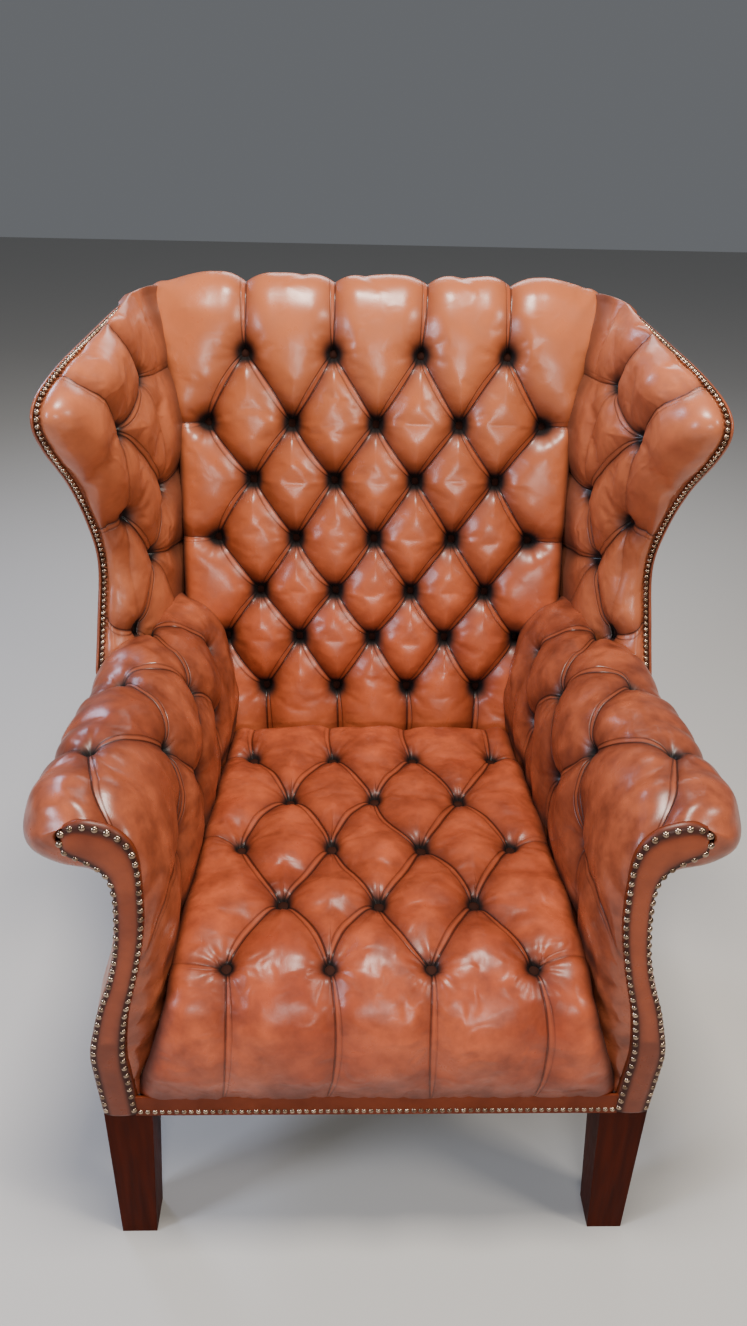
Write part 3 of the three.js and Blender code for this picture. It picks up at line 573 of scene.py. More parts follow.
def seat():
    """The seat's leather, down over its front to the border."""
    line = spline(SEAT_LINE, 400)
    lengths = arc_lengths(line)
    rising = line[:, 0] + 2 * line[:, 1]            # it grows all the way up the front and over the crown
    widths = np.interp(rising, [s + 2 * z for s, z in SEAT_LINE[:8]], SEAT_HALF[:8])
    behind = line[:, 0] > 0.30
    widths[behind] = np.interp(line[behind, 0], [s for s, _ in SEAT_LINE[6:]], SEAT_HALF[6:])
    v, s, z, across = laid_out(line, 0.50)
    half = np.interp(v, lengths, widths)
    x = across * half
    q = np.stack(np.broadcast_arrays(x, v), axis=-1)

    crown = line[:, 0] > 0.0
    row_v = np.interp(SEAT_ROWS, line[crown, 0], lengths[crown])
    rows_of_buttons = [centred_row(count, SEAT_SPACING, at) for count, at in zip(SEAT_COUNTS, row_v)]
    buttons, pleats = lattice(rows_of_buttons)
    pleats += [((x0, v0), (x0 * 1.04, 0.01), 0.9) for x0, v0 in rows_of_buttons[0]]
    pleats += [((x0, v0), (x0 * 0.97, v0 + 0.12), 0.9) for x0, v0 in rows_of_buttons[-1]]
    pleats += side_pleats(rows_of_buttons[0::2], 0.27, 0.012, 0.75)
    height, marks = tufted(q, buttons, pleats, pillow=0.0075, span=0.046, sink=0.007, hole=0.011,
                           reach=0.0105, gather=0.0012, soft=0.0024, bows=0.10)
    edge, rear_edge = half - np.abs(x), lengths[-1] - v
    height = height * (0.12 + 0.88 * ease(v / 0.07))
    height -= rolled(edge, 0.030, 0.018) + rolled(v, 0.012, 0.006) + rolled(rear_edge, 0.030, 0.018)
    # Painted shade along the gaps at the sides and back and at the front's bottom edge, and the front
    # darkened towards the bottom.
    shaded(marks, 0.85 * np.exp(-(edge / 0.011) ** 2) * ease(v / 0.03))
    shaded(marks, 0.85 * np.exp(-((rear_edge - 0.02) / 0.016) ** 2))
    shaded(marks, 0.55 * np.exp(-(v / 0.010) ** 2))
    shaded(marks, 0.30 * ease((0.060 - v) / 0.060))
    marks["wear_and_shade"] = np.maximum(marks["wear_and_shade"], 0.75 * ease((0.085 - v) / 0.085))
    return place(x, s, z), q, height, marks, buttons


# ---- Back ----

# Its section from behind the seat up and over the top: depth behind the button plane, and height.
BACK_LINE = [(-0.024, 0.395), (-0.028, 0.480), (-0.029, 0.700), (-0.029, 0.900), (-0.027, 1.010),
             (-0.015, 1.056), (0.008, 1.079), (0.036, 1.078), (0.060, 1.060), (0.068, 1.030)]
# Half its width at a height (z, x).
BACK_HALF = [(0.40, 0.258), (0.60, 0.290), (0.86, 0.292), (0.94, 0.301), (1.01, 0.319), (1.07, 0.332)]
BACK_ROWS = np.array([0.487, 0.5675, 0.640, 0.7195, 0.806, 0.887, 0.984])   # heights of its rows of buttons
BACK_COUNTS = [4, 5, 4, 5, 4, 5, 4]
BACK_SPACING = (0.1115, 0.1276)             # between buttons, at the lowest and the highest row
BACK_CORNER = 0.016                         # how much lower its top corners are than the middle


def back():
    """The inside back's leather, rolled over the top rail."""
    line = spline([(raked(d, z), z) for d, z in BACK_LINE], 400)
    lengths = arc_lengths(line)
    v, s, z, across = laid_out(line, 0.62)
    half = np.interp(z, *np.transpose(BACK_HALF))
    x = across * half
    corner = ease((np.abs(x) - 0.24) / 0.09) * ease((z - 0.97) / 0.08)
    q = np.stack(np.broadcast_arrays(x, v), axis=-1)

    front = np.arange(len(line)) < np.argmax(line[:, 1])
    row_v = np.interp(BACK_ROWS, line[front, 1], lengths[front])
    spacings = np.interp(BACK_ROWS, BACK_ROWS[[0, -1]], BACK_SPACING)
    rows_of_buttons = [centred_row(*row) for row in zip(BACK_COUNTS, spacings, row_v)]
    buttons, pleats = lattice(rows_of_buttons)
    pleats += [((x0, v0), (x0 * 1.05, lengths[-1] + 0.05), 0.95) for x0, v0 in rows_of_buttons[-1]]
    pleats += [((x0, v0), (x0 * 0.97, v0 - 0.12)) for x0, v0 in rows_of_buttons[0]]
    pleats += side_pleats(rows_of_buttons[1::2], 0.33, 0.0, 0.8)
    height, marks = tufted(q, buttons, pleats, pillow=0.0135, span=0.037, sink=0.009, hole=0.018,
                           reach=0.0140, gather=0.0004, soft=0.0010, bows=0.03)
    edge = half - np.abs(x)
    height -= rolled(edge, 0.022, 0.018) + rolled(lengths[-1] - v, 0.010, 0.004)
    # Painted shade along the gaps at the sides.
    shaded(marks, 0.85 * np.exp(-(edge / 0.009) ** 2))
    return place(x, s, z - BACK_CORNER * corner), q, height, marks, buttons


# ---- Arms ----

# Sections of the right arm (x, z) from beside the seat, up the inside, over the roll and under it: where
# the leather starts on the facing, near the front, and at the back.
ARM_FACE = [(0.298, 0.245), (0.297, 0.300), (0.296, 0.350), (0.284, 0.425), (0.271, 0.480), (0.260, 0.540),
            (0.256, 0.600), (0.265, 0.652), (0.292, 0.673), (0.322, 0.672), (0.334, 0.664), (0.334, 0.654),
            (0.320, 0.642), (0.302, 0.629), (0.287, 0.612), (0.283, 0.600)]
ARM_NEAR = [(0.282, 0.245), (0.273, 0.302), (0.262, 0.350), (0.246, 0.425), (0.236, 0.480), (0.231, 0.540),
            (0.236, 0.600), (0.258, 0.655), (0.292, 0.690), (0.332, 0.697), (0.366, 0.678), (0.383, 0.642),
            (0.376, 0.616), (0.350, 0.604), (0.316, 0.601), (0.288, 0.600)]
ARM_FAR = [(0.212, 0.245), (0.212, 0.302), (0.212, 0.350), (0.211, 0.430), (0.211, 0.480), (0.214, 0.535),
           (0.226, 0.583), (0.247, 0.615), (0.283, 0.635), (0.325, 0.635), (0.360, 0.617), (0.376, 0.588),
           (0.368, 0.565), (0.346, 0.554), (0.316, 0.551), (0.296, 0.550)]
ARM_NEAR_S, ARM_FAR_S = 0.060, 0.600        # where the last two stand
ARM_NOSE = (0.022, 0.060)                   # depth of the rounded front: low down, and at the roll
ARM_END = (0.004, 0.054)                    # its rear end, behind the button plane: inner and outer side
ARM_END_S = 0.620                           # about where that end comes
ARM_TAIL = 0.050                            # the length over which the end is rounded
ARM_TAIL_MIDDLE = np.array([0.318, 0.590])  # (x, z) that it closes towards
BEHIND_WING = 0.005                         # the roll passes in under the outside of the wing by this much
ARM_BUTTONS = {"inner": [(0.140, 0.240, 0.540), (0.297, 0.235, 0.525), (0.445, 0.228, 0.518)],
               "main": [(0.218, 0.262, 0.615), (0.376, 0.250, 0.600), (0.520, 0.243, 0.585)],
               "top": [(0.125, 0.325, 0.655), (0.285, 0.325, 0.637), (0.440, 0.322, 0.622)]}   # (s, x, z)


def arm():
    """The right arm's leather."""
    columns = count_for(0.66)
    face, near, far = (spline(points, columns) for points in (ARM_FACE, ARM_NEAR, ARM_FAR))

    def section(s):
        """The arm's section at a distance s, or with a distance of its own for each point."""
        share = (np.maximum(s, ARM_NEAR_S) - ARM_NEAR_S) / (ARM_FAR_S - ARM_NEAR_S)
        return near + (far - near) * np.reshape(share, (-1, 1))

    nose_turn = np.linspace(0, math.pi / 2, 29)[:-1]
    tail_turn = np.linspace(0, math.pi / 2, 13)[1:]
    body = np.linspace(0, 1, count_for(0.60) - len(nose_turn) - len(tail_turn))
    roll = ARM_NOSE[1]
    nose = ARM_NOSE[0] + (roll - ARM_NOSE[0]) * ease((near[:, 1] - 0.30) / 0.25)
    end = section(ARM_END_S)
    outer_share = ease((end[:, 0] - 0.275) / 0.05)
    rear = raked(ARM_END[0] + (ARM_END[1] - ARM_END[0]) * outer_share, end[:, 1])
    sections, u = [], []
    for angle in nose_turn:
        sections.append((nose * (1 - np.cos(angle)), face + (near - face) * np.sin(angle)))
        u.append(roll - (roll * np.cos(angle)) * 0.75 - 0.035 * (1 - np.sin(angle)))
    for t in body:
        s = nose + t * (rear - ARM_TAIL - nose)
        sections.append((s, section(s)))
        u.append(roll + t * (np.mean(rear) - ARM_TAIL - roll))
    for angle in tail_turn:
        s = rear - ARM_TAIL + ARM_TAIL * np.sin(angle)
        xz = section(s)
        closing = 0.60 * (1 - np.cos(angle)) * ease((xz[:, 1:] - 0.45) / 0.1) * (1 - outer_share[:, None])
        sections.append((s, xz + (ARM_TAIL_MIDDLE - xz) * closing))
        u.append(np.mean(s))
    grid = np.array([place(xz[:, 0], s, xz[:, 1]) for s, xz in sections])
    grid[..., 0] = np.minimum(grid[..., 0], wing_outer(grid[..., 1] - FRONT) - BEHIND_WING)
    u = np.array(u)[:, None]
    level = np.array([arc_lengths(section(s)) for s in np.clip(u, 0, ARM_END_S)])
    q = np.stack(np.broadcast_arrays(u, level), axis=-1)

    def flat(s, x, z):
        """A button's place on the flat leather."""
        line = section(s)
        return s, arc_lengths(line)[np.argmin(np.hypot(line[:, 0] - x, line[:, 1] - z))]

    inner, main, top = ([flat(*button) for button in row] for row in ARM_BUTTONS.values())
    pleats = [(a, b) for row in (inner, top) for a in row for b in main if abs(a[0] - b[0]) < 0.12]
    pleats += [((s, v), (s + 0.005, 0.12), 0.85) for s, v in inner]
    pleats += [((s, v), (s - 0.015, level[0, -1])) for s, v in top]
    pleats += [(inner[0], (-0.02, inner[0][1] - 0.010), 0.9), (top[0], (-0.03, top[0][1] - 0.045)),
               (main[0], inner[0])]
    height, marks = tufted(q, inner + main + top, pleats, pillow=0.0072, span=0.046, sink=0.013, hole=0.012,
                           reach=0.0105, gather=0.0008, soft=0.0022, bows=0.10)
    fade = ease((u + 0.02) / 0.05) * ease((rear.mean() - u) / 0.03)
    height = height * fade - rolled(level, 0.006, 0.002)
    marks = {key: values if key == "wear_and_shade" else values * fade for key, values in marks.items()}
    # Painted shade where the arm runs in towards the back, and along the gap beside the seat.
    behind = grid[..., 1] - FRONT - raked(-0.040, grid[..., 2])
    shaded(marks, 0.80 * ease(behind / 0.020) * (1 - outer_share))
    shade_beside_seat = 0.75 * np.exp(-((grid[..., 2] - 0.446) / 0.012) ** 2) * (level < 0.30)
    shaded(marks, shade_beside_seat * ease((u - 0.03) / 0.03))
    return grid, q, height, marks, inner + main + top


# ---- Wings ----

# Nail line of the right wing from the side (s, z), from below the arm's roll round the front to the back.
WING_EDGE = [(0.700, 0.596), (0.620, 0.596), (0.520, 0.592), (0.440, 0.584), (0.427, 0.600), (0.450, 0.668),
             (0.472, 0.748), (0.452, 0.818), (0.414, 0.884), (0.368, 0.939), (0.348, 0.976), (0.365, 1.000),
             (0.424, 1.020), (0.512, 1.037), (0.627, 1.056), (0.712, 1.056), (0.790, 1.038)]
WING_NAILS = WING_EDGE[4:16]
WING_CENTRE = np.array([0.748, 0.800])      # hidden behind the back: the wing's surface lines run to it
# The rim's roll: share of the wing's thickness, and how far it stands beyond the nail line.
WING_RIM = [(0.0, 0.0015), (0.14, 0.0020), (0.20, 0.0060), (0.28, 0.0100), (0.40, 0.0120), (0.54, 0.0100),
            (0.70, 0.0030), (0.83, -0.0080), (0.94, -0.0240), (1.0, -0.0450)]
WING_BEHIND = 0.040                         # its leather ends here, behind the back's button plane
WING_WIDE = 0.42                            # length of a surface line, about
WING_BUTTONS = {"A": (0.585, 0.972), "B": (0.474, 0.930), "C": (0.474, 0.810), "D": (0.550, 0.727),
                "E": (0.466, 0.648), "F": (0.605, 0.806)}
WING_PLEATS = {"AB": 1.0, "BF": 1.0, "FD": 1.0, "CD": 1.0, "DE": 1.0, "AF": 0.55, "BC": 0.7, "CE": 0.55}
WING_BORDER_PLEATS = [("A", (0.500, 1.120), 0.95), ("B", (0.330, 1.075), 0.95), ("C", (0.380, 0.800), 0.95),
                      ("D", (0.700, 0.700), 0.95), ("E", (0.360, 0.650), 0.95), ("F", (0.720, 0.830), 0.95),
                      ("A", (0.730, 0.960), 0.8), ("E", (0.520, 0.560), 0.8), ("D", (0.600, 0.620), 0.7)]


def wing_outer(s):
    """Distance of the wing's outside from the middle of the chair."""
    return 0.386 + (0.422 - s) * 0.21


def wing_inner(s, z):
    spread = 0.046 * np.clip((z - 0.88) / 0.19, 0, None) ** 1.5 * np.clip((s - 0.45) / 0.2, 0, 1)
    return 0.285 + (0.660 - s) * 0.178 + spread


def wing():
    """The right wing's leather, as lines that run from the nails over the rim and in behind the back."""
    edge = spline(WING_EDGE, 600)
    edge = resample(edge, count_for(arc_lengths(edge)[-1]))
    rim = spline(WING_RIM, 120)
    inner_count = 160
    grid, q = [], []
    for point in edge:
        inward = WING_CENTRE - point
        length = np.linalg.norm(inward)
        inward = inward / length
        beyond = np.concatenate([rim[:, 1], np.linspace(-0.046, 0.02 - length, inner_count)])
        share = np.concatenate([rim[:, 0], np.ones(inner_count)])
        s, z = (point - inward * beyond[:, None]).T
        outer = wing_outer(s)
        inner = np.minimum(wing_inner(s, z), outer - 0.008)
        line = np.stack([outer + (inner - outer) * share, np.minimum(s, raked(WING_BEHIND, z)), z], axis=1)
        own = arc_lengths(line)
        wanted = np.linspace(0, own[-1], count_for(WING_WIDE))
        grid.append(place(*at_lengths(line, wanted).T))
        q.append(point + inward * (wanted - own[len(rim) - 1] + 0.045)[:, None])
    grid, q = np.array(grid), np.array(q)

    b = WING_BUTTONS
    pleats = [(b[one], b[two], strength) for (one, two), strength in WING_PLEATS.items()]
    pleats += [(b[key], end, strength) for key, end, strength in WING_BORDER_PLEATS]
    height, marks = tufted(q, list(b.values()), pleats, pillow=0.0095, span=0.044, sink=0.010, hole=0.013,
                           reach=0.0125, gather=0.0006, soft=0.0016, bows=0.08)
    from_nails = np.linspace(0, WING_WIDE, grid.shape[1])
    height = np.minimum(height * (0.15 + 0.85 * ease((from_nails - 0.012) / 0.03)), 0.003)
    # Painted shade under the rim's nails, towards the back, and low down by the arm.
    shaded(marks, 0.80 * np.exp(-(from_nails / (1.6 * NAIL_BAND)) ** 4))
    shaded(marks, 0.60 * ease((grid[..., 1] - FRONT - raked(-0.075, grid[..., 2])) / 0.05))
    shaded(marks, 0.75 * ease((0.634 - grid[..., 2]) / 0.022) * ease((from_nails - 0.03) / 0.02))
    return grid, q, height, marks, list(b.values())


# ---- Leather settled by cloth simulation ----

CLOTH_STEP = 2                              # cells of the surface per cell of the simulated cloth
CLOTH_FRAMES = 20
CLOTH_CAP = 0.010                           # furthest that a point may move
# Fullness of the leather and pressure under it, for each kind of panel.
CLOTH = {"seat": (0.013, 4.0), "back": (0.005, 5.0), "arm": (0.008, 5.0), "wing": (0.008, 4.0)}
SETTLED = {}                                # movement of each kind of panel; both sides share one


def simulated(name, points, faces, held, fullness, pressure):
    """Where the points of a sheet come to rest when some of them are held and the rest is blown up."""
    piece = mesh_object(name, points, faces, SEAT_LEATHER)
    group = piece.vertex_groups.new(name="held")
    for index, weight in enumerate(held):
        group.add([index], float(weight), "REPLACE")
    settings = piece.modifiers.new("cloth", "CLOTH").settings
    settings.vertex_group_mass = "held"
    settings.use_pressure = True
    settings.uniform_pressure_force = pressure
    settings.effector_weights.gravity = 0.0
    settings.shrink_min = -fullness
    settings.quality = 4
    settings.tension_stiffness = settings.compression_stiffness = 20.0
    settings.bending_stiffness = 0.6
    for step in range(1, CLOTH_FRAMES + 1):
        bpy.context.scene.frame_set(step)
    evaluated = piece.evaluated_get(bpy.context.evaluated_depsgraph_get())
    after = np.empty(points.size)
    evaluated.data.vertices.foreach_get("co", after)
    bpy.data.objects.remove(piece, do_unlink=True)
    bpy.context.scene.frame_set(1)
    return after.reshape(-1, 3)


def settled(kind, surface, outward, marks):
    """How far leather moves when it is held at its buttons, pleats and borders over springy stuffing."""
    rows, columns = surface.shape[:2]
    i, j = (np.unique(np.append(np.arange(0, n, CLOTH_STEP), n - 1)) for n in (rows, columns))
    coarse = surface[np.ix_(i, j)]
    held = np.maximum(marks["painted_shade"] * 1.3, marks["firm"] * 0.85)[np.ix_(i, j)]
    held[[0, 1, -1, -2], :] = 1
    held[:, [0, 1, -1, -2]] = 1
    points = coarse.reshape(-1, 3)
    faces = grid_faces(len(i), len(j))
    if faces_away(points, faces[len(faces) // 2], outward[rows // 2, columns // 2]):
        faces = [face[::-1] for face in faces]
    after = simulated(f"{kind}_cloth", points, faces, np.clip(held, 0, 1).ravel(), *CLOTH[kind])
    moved = after.reshape(coarse.shape) - coarse
    around = (moved[:-2, 1:-1] + moved[2:, 1:-1] + moved[1:-1, :-2] + moved[1:-1, 2:]) / 4
    moved[1:-1, 1:-1] = 0.5 * moved[1:-1, 1:-1] + 0.5 * around
    length = np.linalg.norm(moved, axis=-1, keepdims=True)
    moved *= CLOTH_CAP * np.tanh(length / CLOTH_CAP) / np.maximum(length, 1e-9)
    wide = np.apply_along_axis(lambda values: np.interp(np.arange(columns), j, values), 1, moved)
    return np.apply_along_axis(lambda values: np.interp(np.arange(rows), i, values), 0, wide)


# ---- Upholstered panels with their buttons ----

# The way that each kind of panel faces.
SHOWN = {"seat": (0, 0, 1), "back": (0, -1, 0), "arm": (-1, 0, 0), "wing": (-1, 0, 0)}
BUTTON_RADIUS, BUTTON_SIDES = 0.0095, 18
# A covered button from its middle over the rim and under: share of its radius, and height.
BUTTON = [(0.0, 0.0042), (0.35, 0.0040), (0.68, 0.0030), (0.90, 0.0012), (1.0, -0.0010), (0.92, -0.0030)]
BUTTON_UP = 0.0030                          # how far it stands up in its hollow


def upholster(name, made, depth, material, nodes, mirrored=False):
    """Builds a tufted panel and its buttons, and hides the CAD nodes that they replace."""
    kind = name.split("_")[0]
    grid, q, height, marks, buttons = made
    outward = grid_normals(grid)
    if np.dot(outward[grid.shape[0] // 2, grid.shape[1] // 2], SHOWN[kind]) < 0:
        outward = -outward
    surface = grid + outward * height[..., None]
    if kind not in SETTLED:
        SETTLED[kind] = settled(kind, surface, outward, marks)
    surface = surface + SETTLED[kind]
    piece = panel(name, surface, outward, depth, marks, material, mirrored)
    finish_piece(piece, "leather", *nodes)
    flat = q.reshape(-1, 2)
    at = [int(np.argmin(np.linalg.norm(flat - np.asarray(button), axis=1))) for button in buttons]
    ways = outward.reshape(-1, 3)[at]
    spots = surface.reshape(-1, 3)[at] + ways * BUTTON_UP
    profile = [(share * BUTTON_RADIUS, rise) for share, rise in BUTTON]
    spots, ways = sided(spots, mirrored), sided(ways, mirrored)
    points, faces = domes(spots, ways, [1.0] * len(at), profile, BUTTON_SIDES)
    covered = mesh_object(f"{name}_buttons", points, faces, SHADED_BUTTON_LEATHER)
    # Painted shade on the buttons, deep in their holes.
    store(covered, "painted_shade", np.full(len(points), 0.80))
    store(covered, "wear_and_shade", np.full(len(points), 0.8))
    finish_piece(covered, "leather")


# ---- Nails ----

NAIL_SIDES = 14
# A nail's head from the top down: shares of its radius.
NAIL = [(0.0, 0.80), (0.40, 0.74), (0.72, 0.54), (0.93, 0.26), (1.0, 0.05), (1.0, -0.14)]
NAIL_VARIETY = 0.03                         # spread of the heads' sizes


def nails(name, line, outwards, node_name, kind):
    """Domed heads set close together along a line of points.

    Their directions are spaced by how far they turn, not by length, so they lag behind a bend of the line:
    the heads on the wings all face roughly forward.
    """
    pitch, radius = NAILS[kind]
    length = arc_lengths(line)[-1]
    count = int(length / pitch)
    wanted = (np.arange(count) + 0.5) * length / count
    scales = [1 + NAIL_VARIETY * rng.standard_normal() for _ in wanted]
    profile = [(share * radius, rise * radius) for share, rise in NAIL]
    points, faces = domes(at_lengths(line, wanted), at_lengths(outwards, wanted), scales, profile, NAIL_SIDES)
    finish_piece(mesh_object(name, points, faces, NAIL_METAL), "antique_brass", node_name)


def front_nails(name, line, node_name, kind):
    """Nails along a line on the front, facing forward."""
    nails(name, line, np.tile([0.0, -1.0, 0.0], (len(line), 1)), node_name, kind)


WING_NAIL_OUT = 0.0035                      # how far beyond the edge's line the nails stand
WING_NAIL_IN = 0.0052                       # and how far within the wing's outside
WING_NAIL_LOW, WING_NAIL_BACK = 0.606, 0.60  # lowest z and furthest s that they reach


def wing_nails(side, mirrored):
    line = spline(WING_NAILS, 300)
    out = sideways(line)
    s, z = (line + out * WING_NAIL_OUT).T
    shown = (line[:, 1] > WING_NAIL_LOW) & (line[:, 0] < WING_NAIL_BACK)
    spots = sided(place(wing_outer(s) - WING_NAIL_IN, s, z), mirrored)
    ways = np.insert(out, 0, 0, axis=1)
    nails(f"wing_nail_heads_{side}", spots[shown], ways[shown], f"wing_nails_{side}", "wing")


# ---- Facings ----

# Nail lines on the right facing (x, z): the outer edge up to the scroll's tip, and the inner edge.
FACING_OUTER = [(0.324, 0.243), (0.328, 0.304), (0.329, 0.345), (0.320, 0.390), (0.312, 0.420),
                (0.300, 0.455), (0.290, 0.495), (0.284, 0.535), (0.281, 0.575), (0.283, 0.602),
                (0.290, 0.617), (0.300, 0.627), (0.310, 0.634), (0.322, 0.641), (0.330, 0.650)]
FACING_INNER = [(0.292, 0.243), (0.295, 0.300), (0.297, 0.345), (0.290, 0.400), (0.283, 0.430),
                (0.275, 0.460), (0.268, 0.490), (0.262, 0.520), (0.258, 0.550), (0.256, 0.590),
                (0.256, 0.625), (0.260, 0.645), (0.268, 0.658), (0.278, 0.667), (0.290, 0.672),
                (0.303, 0.675), (0.315, 0.674), (0.326, 0.668)]
FACING_EDGE, FACING_FRONT = -0.0010, -0.0085    # its edge and its front, behind the legs' front plane
FACING_REAR = 0.002
FACING_MARGIN = 0.006                       # leather beyond the nail lines
FACING_BEND = 0.371                         # height below which shade is painted on the facing over the leg
FACING_NAILS = -0.0045                      # where the nails' heads sit
FACING_TIP = 6                              # rows over which the scroll's tip is rounded


def facing(side, mirrored):
    """The leather-covered strip on the front of an arm, domed across."""
    rows, columns = 200, 17
    outer, inner = spline(FACING_OUTER, rows), spline(FACING_INNER, rows)
    margin = FACING_MARGIN * (inner - outer) / np.linalg.norm(inner - outer, axis=1, keepdims=True)
    outer, inner = outer - margin, inner + margin
    v = np.linspace(0, 1, columns)
    x, z = np.moveaxis(outer[:, None, :] + (inner - outer)[:, None, :] * v[None, :, None], -1, 0)
    bulge = (1 - np.abs(2 * v - 1) ** 2.6) ** 0.5
    from_tip = np.clip(np.arange(rows)[::-1] / FACING_TIP, 0, 1)[:, None]
    tip = np.maximum(np.sqrt(1 - (1 - from_tip) ** 2), 0.05)
    s = FACING_EDGE + (FACING_FRONT - FACING_EDGE) * bulge * tip
    piece = double_sheet(f"facing_{side}", place(x, s, z), place(x, FACING_REAR, z), SHADED_FACING_LEATHER, mirrored)
    width = np.linalg.norm(inner - outer, axis=1)[:, None]
    from_nails = np.minimum(np.abs(v * width - FACING_MARGIN), np.abs((1 - v) * width - FACING_MARGIN))
    # Painted shade along the nail lines, and below the bend over the leg.
    store(piece, "painted_shade", np.tile((0.80 * np.exp(-(from_nails / NAIL_BAND) ** 4)).ravel(), 2))
    wear_and_shade = np.maximum(np.exp(-(from_nails / 0.009) ** 2), 0.8 * ease((FACING_BEND - z) / 0.006))
    store(piece, "wear_and_shade", np.tile(wear_and_shade.ravel(), 2))
    finish_piece(piece, "leather", f"arm_facing_{side}")


def facing_nails(side, mirrored):
    line = np.vstack([spline(FACING_OUTER, 200), spline(FACING_INNER, 200)[::-1]])
    spots = sided(place(line[:, 0], FACING_NAILS, line[:, 1]), mirrored)
    front_nails(f"facing_nail_heads_{side}", spots, f"arm_nails_{side}", "facing")


# ---- Outside panels ----

OUTSIDE_PLANE = 0.0644                      # of the outside back, behind the back's button plane
OUTSIDE_FOOT, OUTSIDE_TOP = 0.237, 1.040    # heights of the outside back's lower and upper edge
OUTSIDE_BACK = [(0.236, 0.6374), (0.310, 0.6374), (0.430, raked(OUTSIDE_PLANE, 0.430)),
                (OUTSIDE_TOP, raked(OUTSIDE_PLANE, OUTSIDE_TOP))]       # its section (z, s)
POST_LINE = [(0.236, 0.283), (0.300, 0.283), (0.600, 0.329), (1.040, 0.310)]    # the frame's edge (z, x)
ARM_DEPTH = 0.66                            # from the front to the frame's rear edge
ARM_UNDER_S, ARM_UNDER = 0.060, 0.599       # where the outside arm's upper edge starts behind the roll
ARM_UNDER_SLOPE = 0.0926                    # how it falls from there to the back
PANEL_THICK, PANEL_ROUND = 0.0032, 0.0040   # leather over a thin pad, and the radius of its turned edge
PANEL_PUFF, PANEL_REACH = 0.0042, 0.045     # its stuffing, and how far in from the edge that is full
PANEL_REAR = -0.0008                        # its flat rear, behind the surface it lies on
OVER_NAILS = 0.004                          # the outside wing's leather reaches this far past the nail line
BOARD_OUT = 0.0045                          # and bulges this much over the end of the arm board
PANEL_STEP, PANEL_RINGS = 0.006, 46         # spacing of points round its edge, and rings of them
ARM_MIDDLE, WING_MIDDLE, BACK_MIDDLE = (0.330, 0.405), (0.650, 0.800), (0.0, 0.660)     # of those rings


def pad_over(name, node_name, outline, centre, put, mirrored=False):
    """A flat panel with turned edges, slightly stuffed; put gives points for flat places and a rise."""
    outline, centre = np.array(outline), np.array(centre)
    closed = np.vstack([outline, outline[:1]])
    rows, columns = int(arc_lengths(closed)[-1] / PANEL_STEP), PANEL_RINGS
    rim = resample(closed, rows + 1)[:-1]
    share = 1 - np.linspace(0, 1, columns, endpoint=False) ** 1.5
    flat = centre + (rim[:, None, :] - centre) * share[None, :, None]
    inside = np.linalg.norm(rim - centre, axis=1)[:, None] * (1 - share)
    turned = np.sqrt(1 - (1 - np.clip(inside / PANEL_ROUND, 0, 1)) ** 2)
    uneven = PANEL_PUFF + 0.0006 * swell(flat, np.random.default_rng(rows))
    rise = PANEL_THICK * turned + uneven * ease(inside / PANEL_REACH)
    front = put(flat[..., 0], flat[..., 1], rise)
    rear = put(flat[..., 0], flat[..., 1], PANEL_REAR)
    middle = [put(*centre, rise[:, -1].mean()), put(*centre, PANEL_REAR)]
    points = np.vstack([front.reshape(-1, 3), rear.reshape(-1, 3), middle])
    size = rows * columns
    faces = []
    for i in range(rows):
        a, b = i * columns, (i + 1) % rows * columns
        faces.append((a, size + a, size + b, b))
        for j in range(columns - 1):
            faces += [(a + j, b + j, b + j + 1, a + j + 1),
                      (size + a + j, size + a + j + 1, size + b + j + 1, size + b + j)]
        a, b = a + columns - 1, b + columns - 1
        faces += [(a, b, 2 * size), (size + b, size + a, 2 * size + 1)]
    piece = mesh_object(name, sided(points, mirrored), faces, TAN_LEATHER)
    make_outward(piece)
    darkening = (0.7 * np.exp(-inside / 0.006)).ravel()
    store(piece, "wear_and_shade", np.concatenate([darkening, darkening, np.zeros(2)]))
    finish_piece(piece, "leather", node_name)


def post_outer(z):
    return np.interp(z, *np.transpose(POST_LINE))


def outside_s(z):
    return np.interp(z, *np.transpose(OUTSIDE_BACK))


def outside_arm(side, mirrored):
    edge = np.array(sorted(FACING_OUTER, key=lambda p: p[1]))

    def put(s, z, rise):
        near = np.interp(z, edge[:, 1], edge[:, 0]) + 0.0012
        return place(near + (post_outer(z) - near) * s / ARM_DEPTH + rise, s, z)

    upper = [(s, ARM_UNDER - ARM_UNDER_SLOPE * (s - ARM_UNDER_S)) for s in (ARM_UNDER_S, 0.300, 0.500, 0.676)]
    outline = [(0.0015, OUTSIDE_FOOT), (0.0015, 0.450), (0.0015, 0.597), *upper, (outside_s(0.43), 0.430),
               (0.6370, 0.310), (0.6370, OUTSIDE_FOOT)]
    pad_over(f"outside_arm_leather_{side}", f"outside_arm_{side}", outline, ARM_MIDDLE, put, mirrored)


def outside_wing(side, mirrored):
    def put(s, z, rise):
        low = ease((0.600 - z) / 0.030)
        near = wing_outer(s) + BOARD_OUT * low * ease((s - 0.500) / 0.060)
        tuck = low * ease((s - 0.646) / 0.026)              # in behind the board to the post
        return place(near + (post_outer(z) - near) * tuck + 0.0006 + rise, s, z)

    front = spline(WING_NAILS, 120)
    front = front + OVER_NAILS * sideways(front)
    behind = [(outside_s(z), z) for z in (1.038, 0.800, 0.5515)]
    outline = [(0.440, 0.5685), *front, *behind, (0.560, 0.5575)]
    pad_over(f"outside_wing_leather_{side}", f"outside_wing_{side}", outline, WING_MIDDLE, put, mirrored)


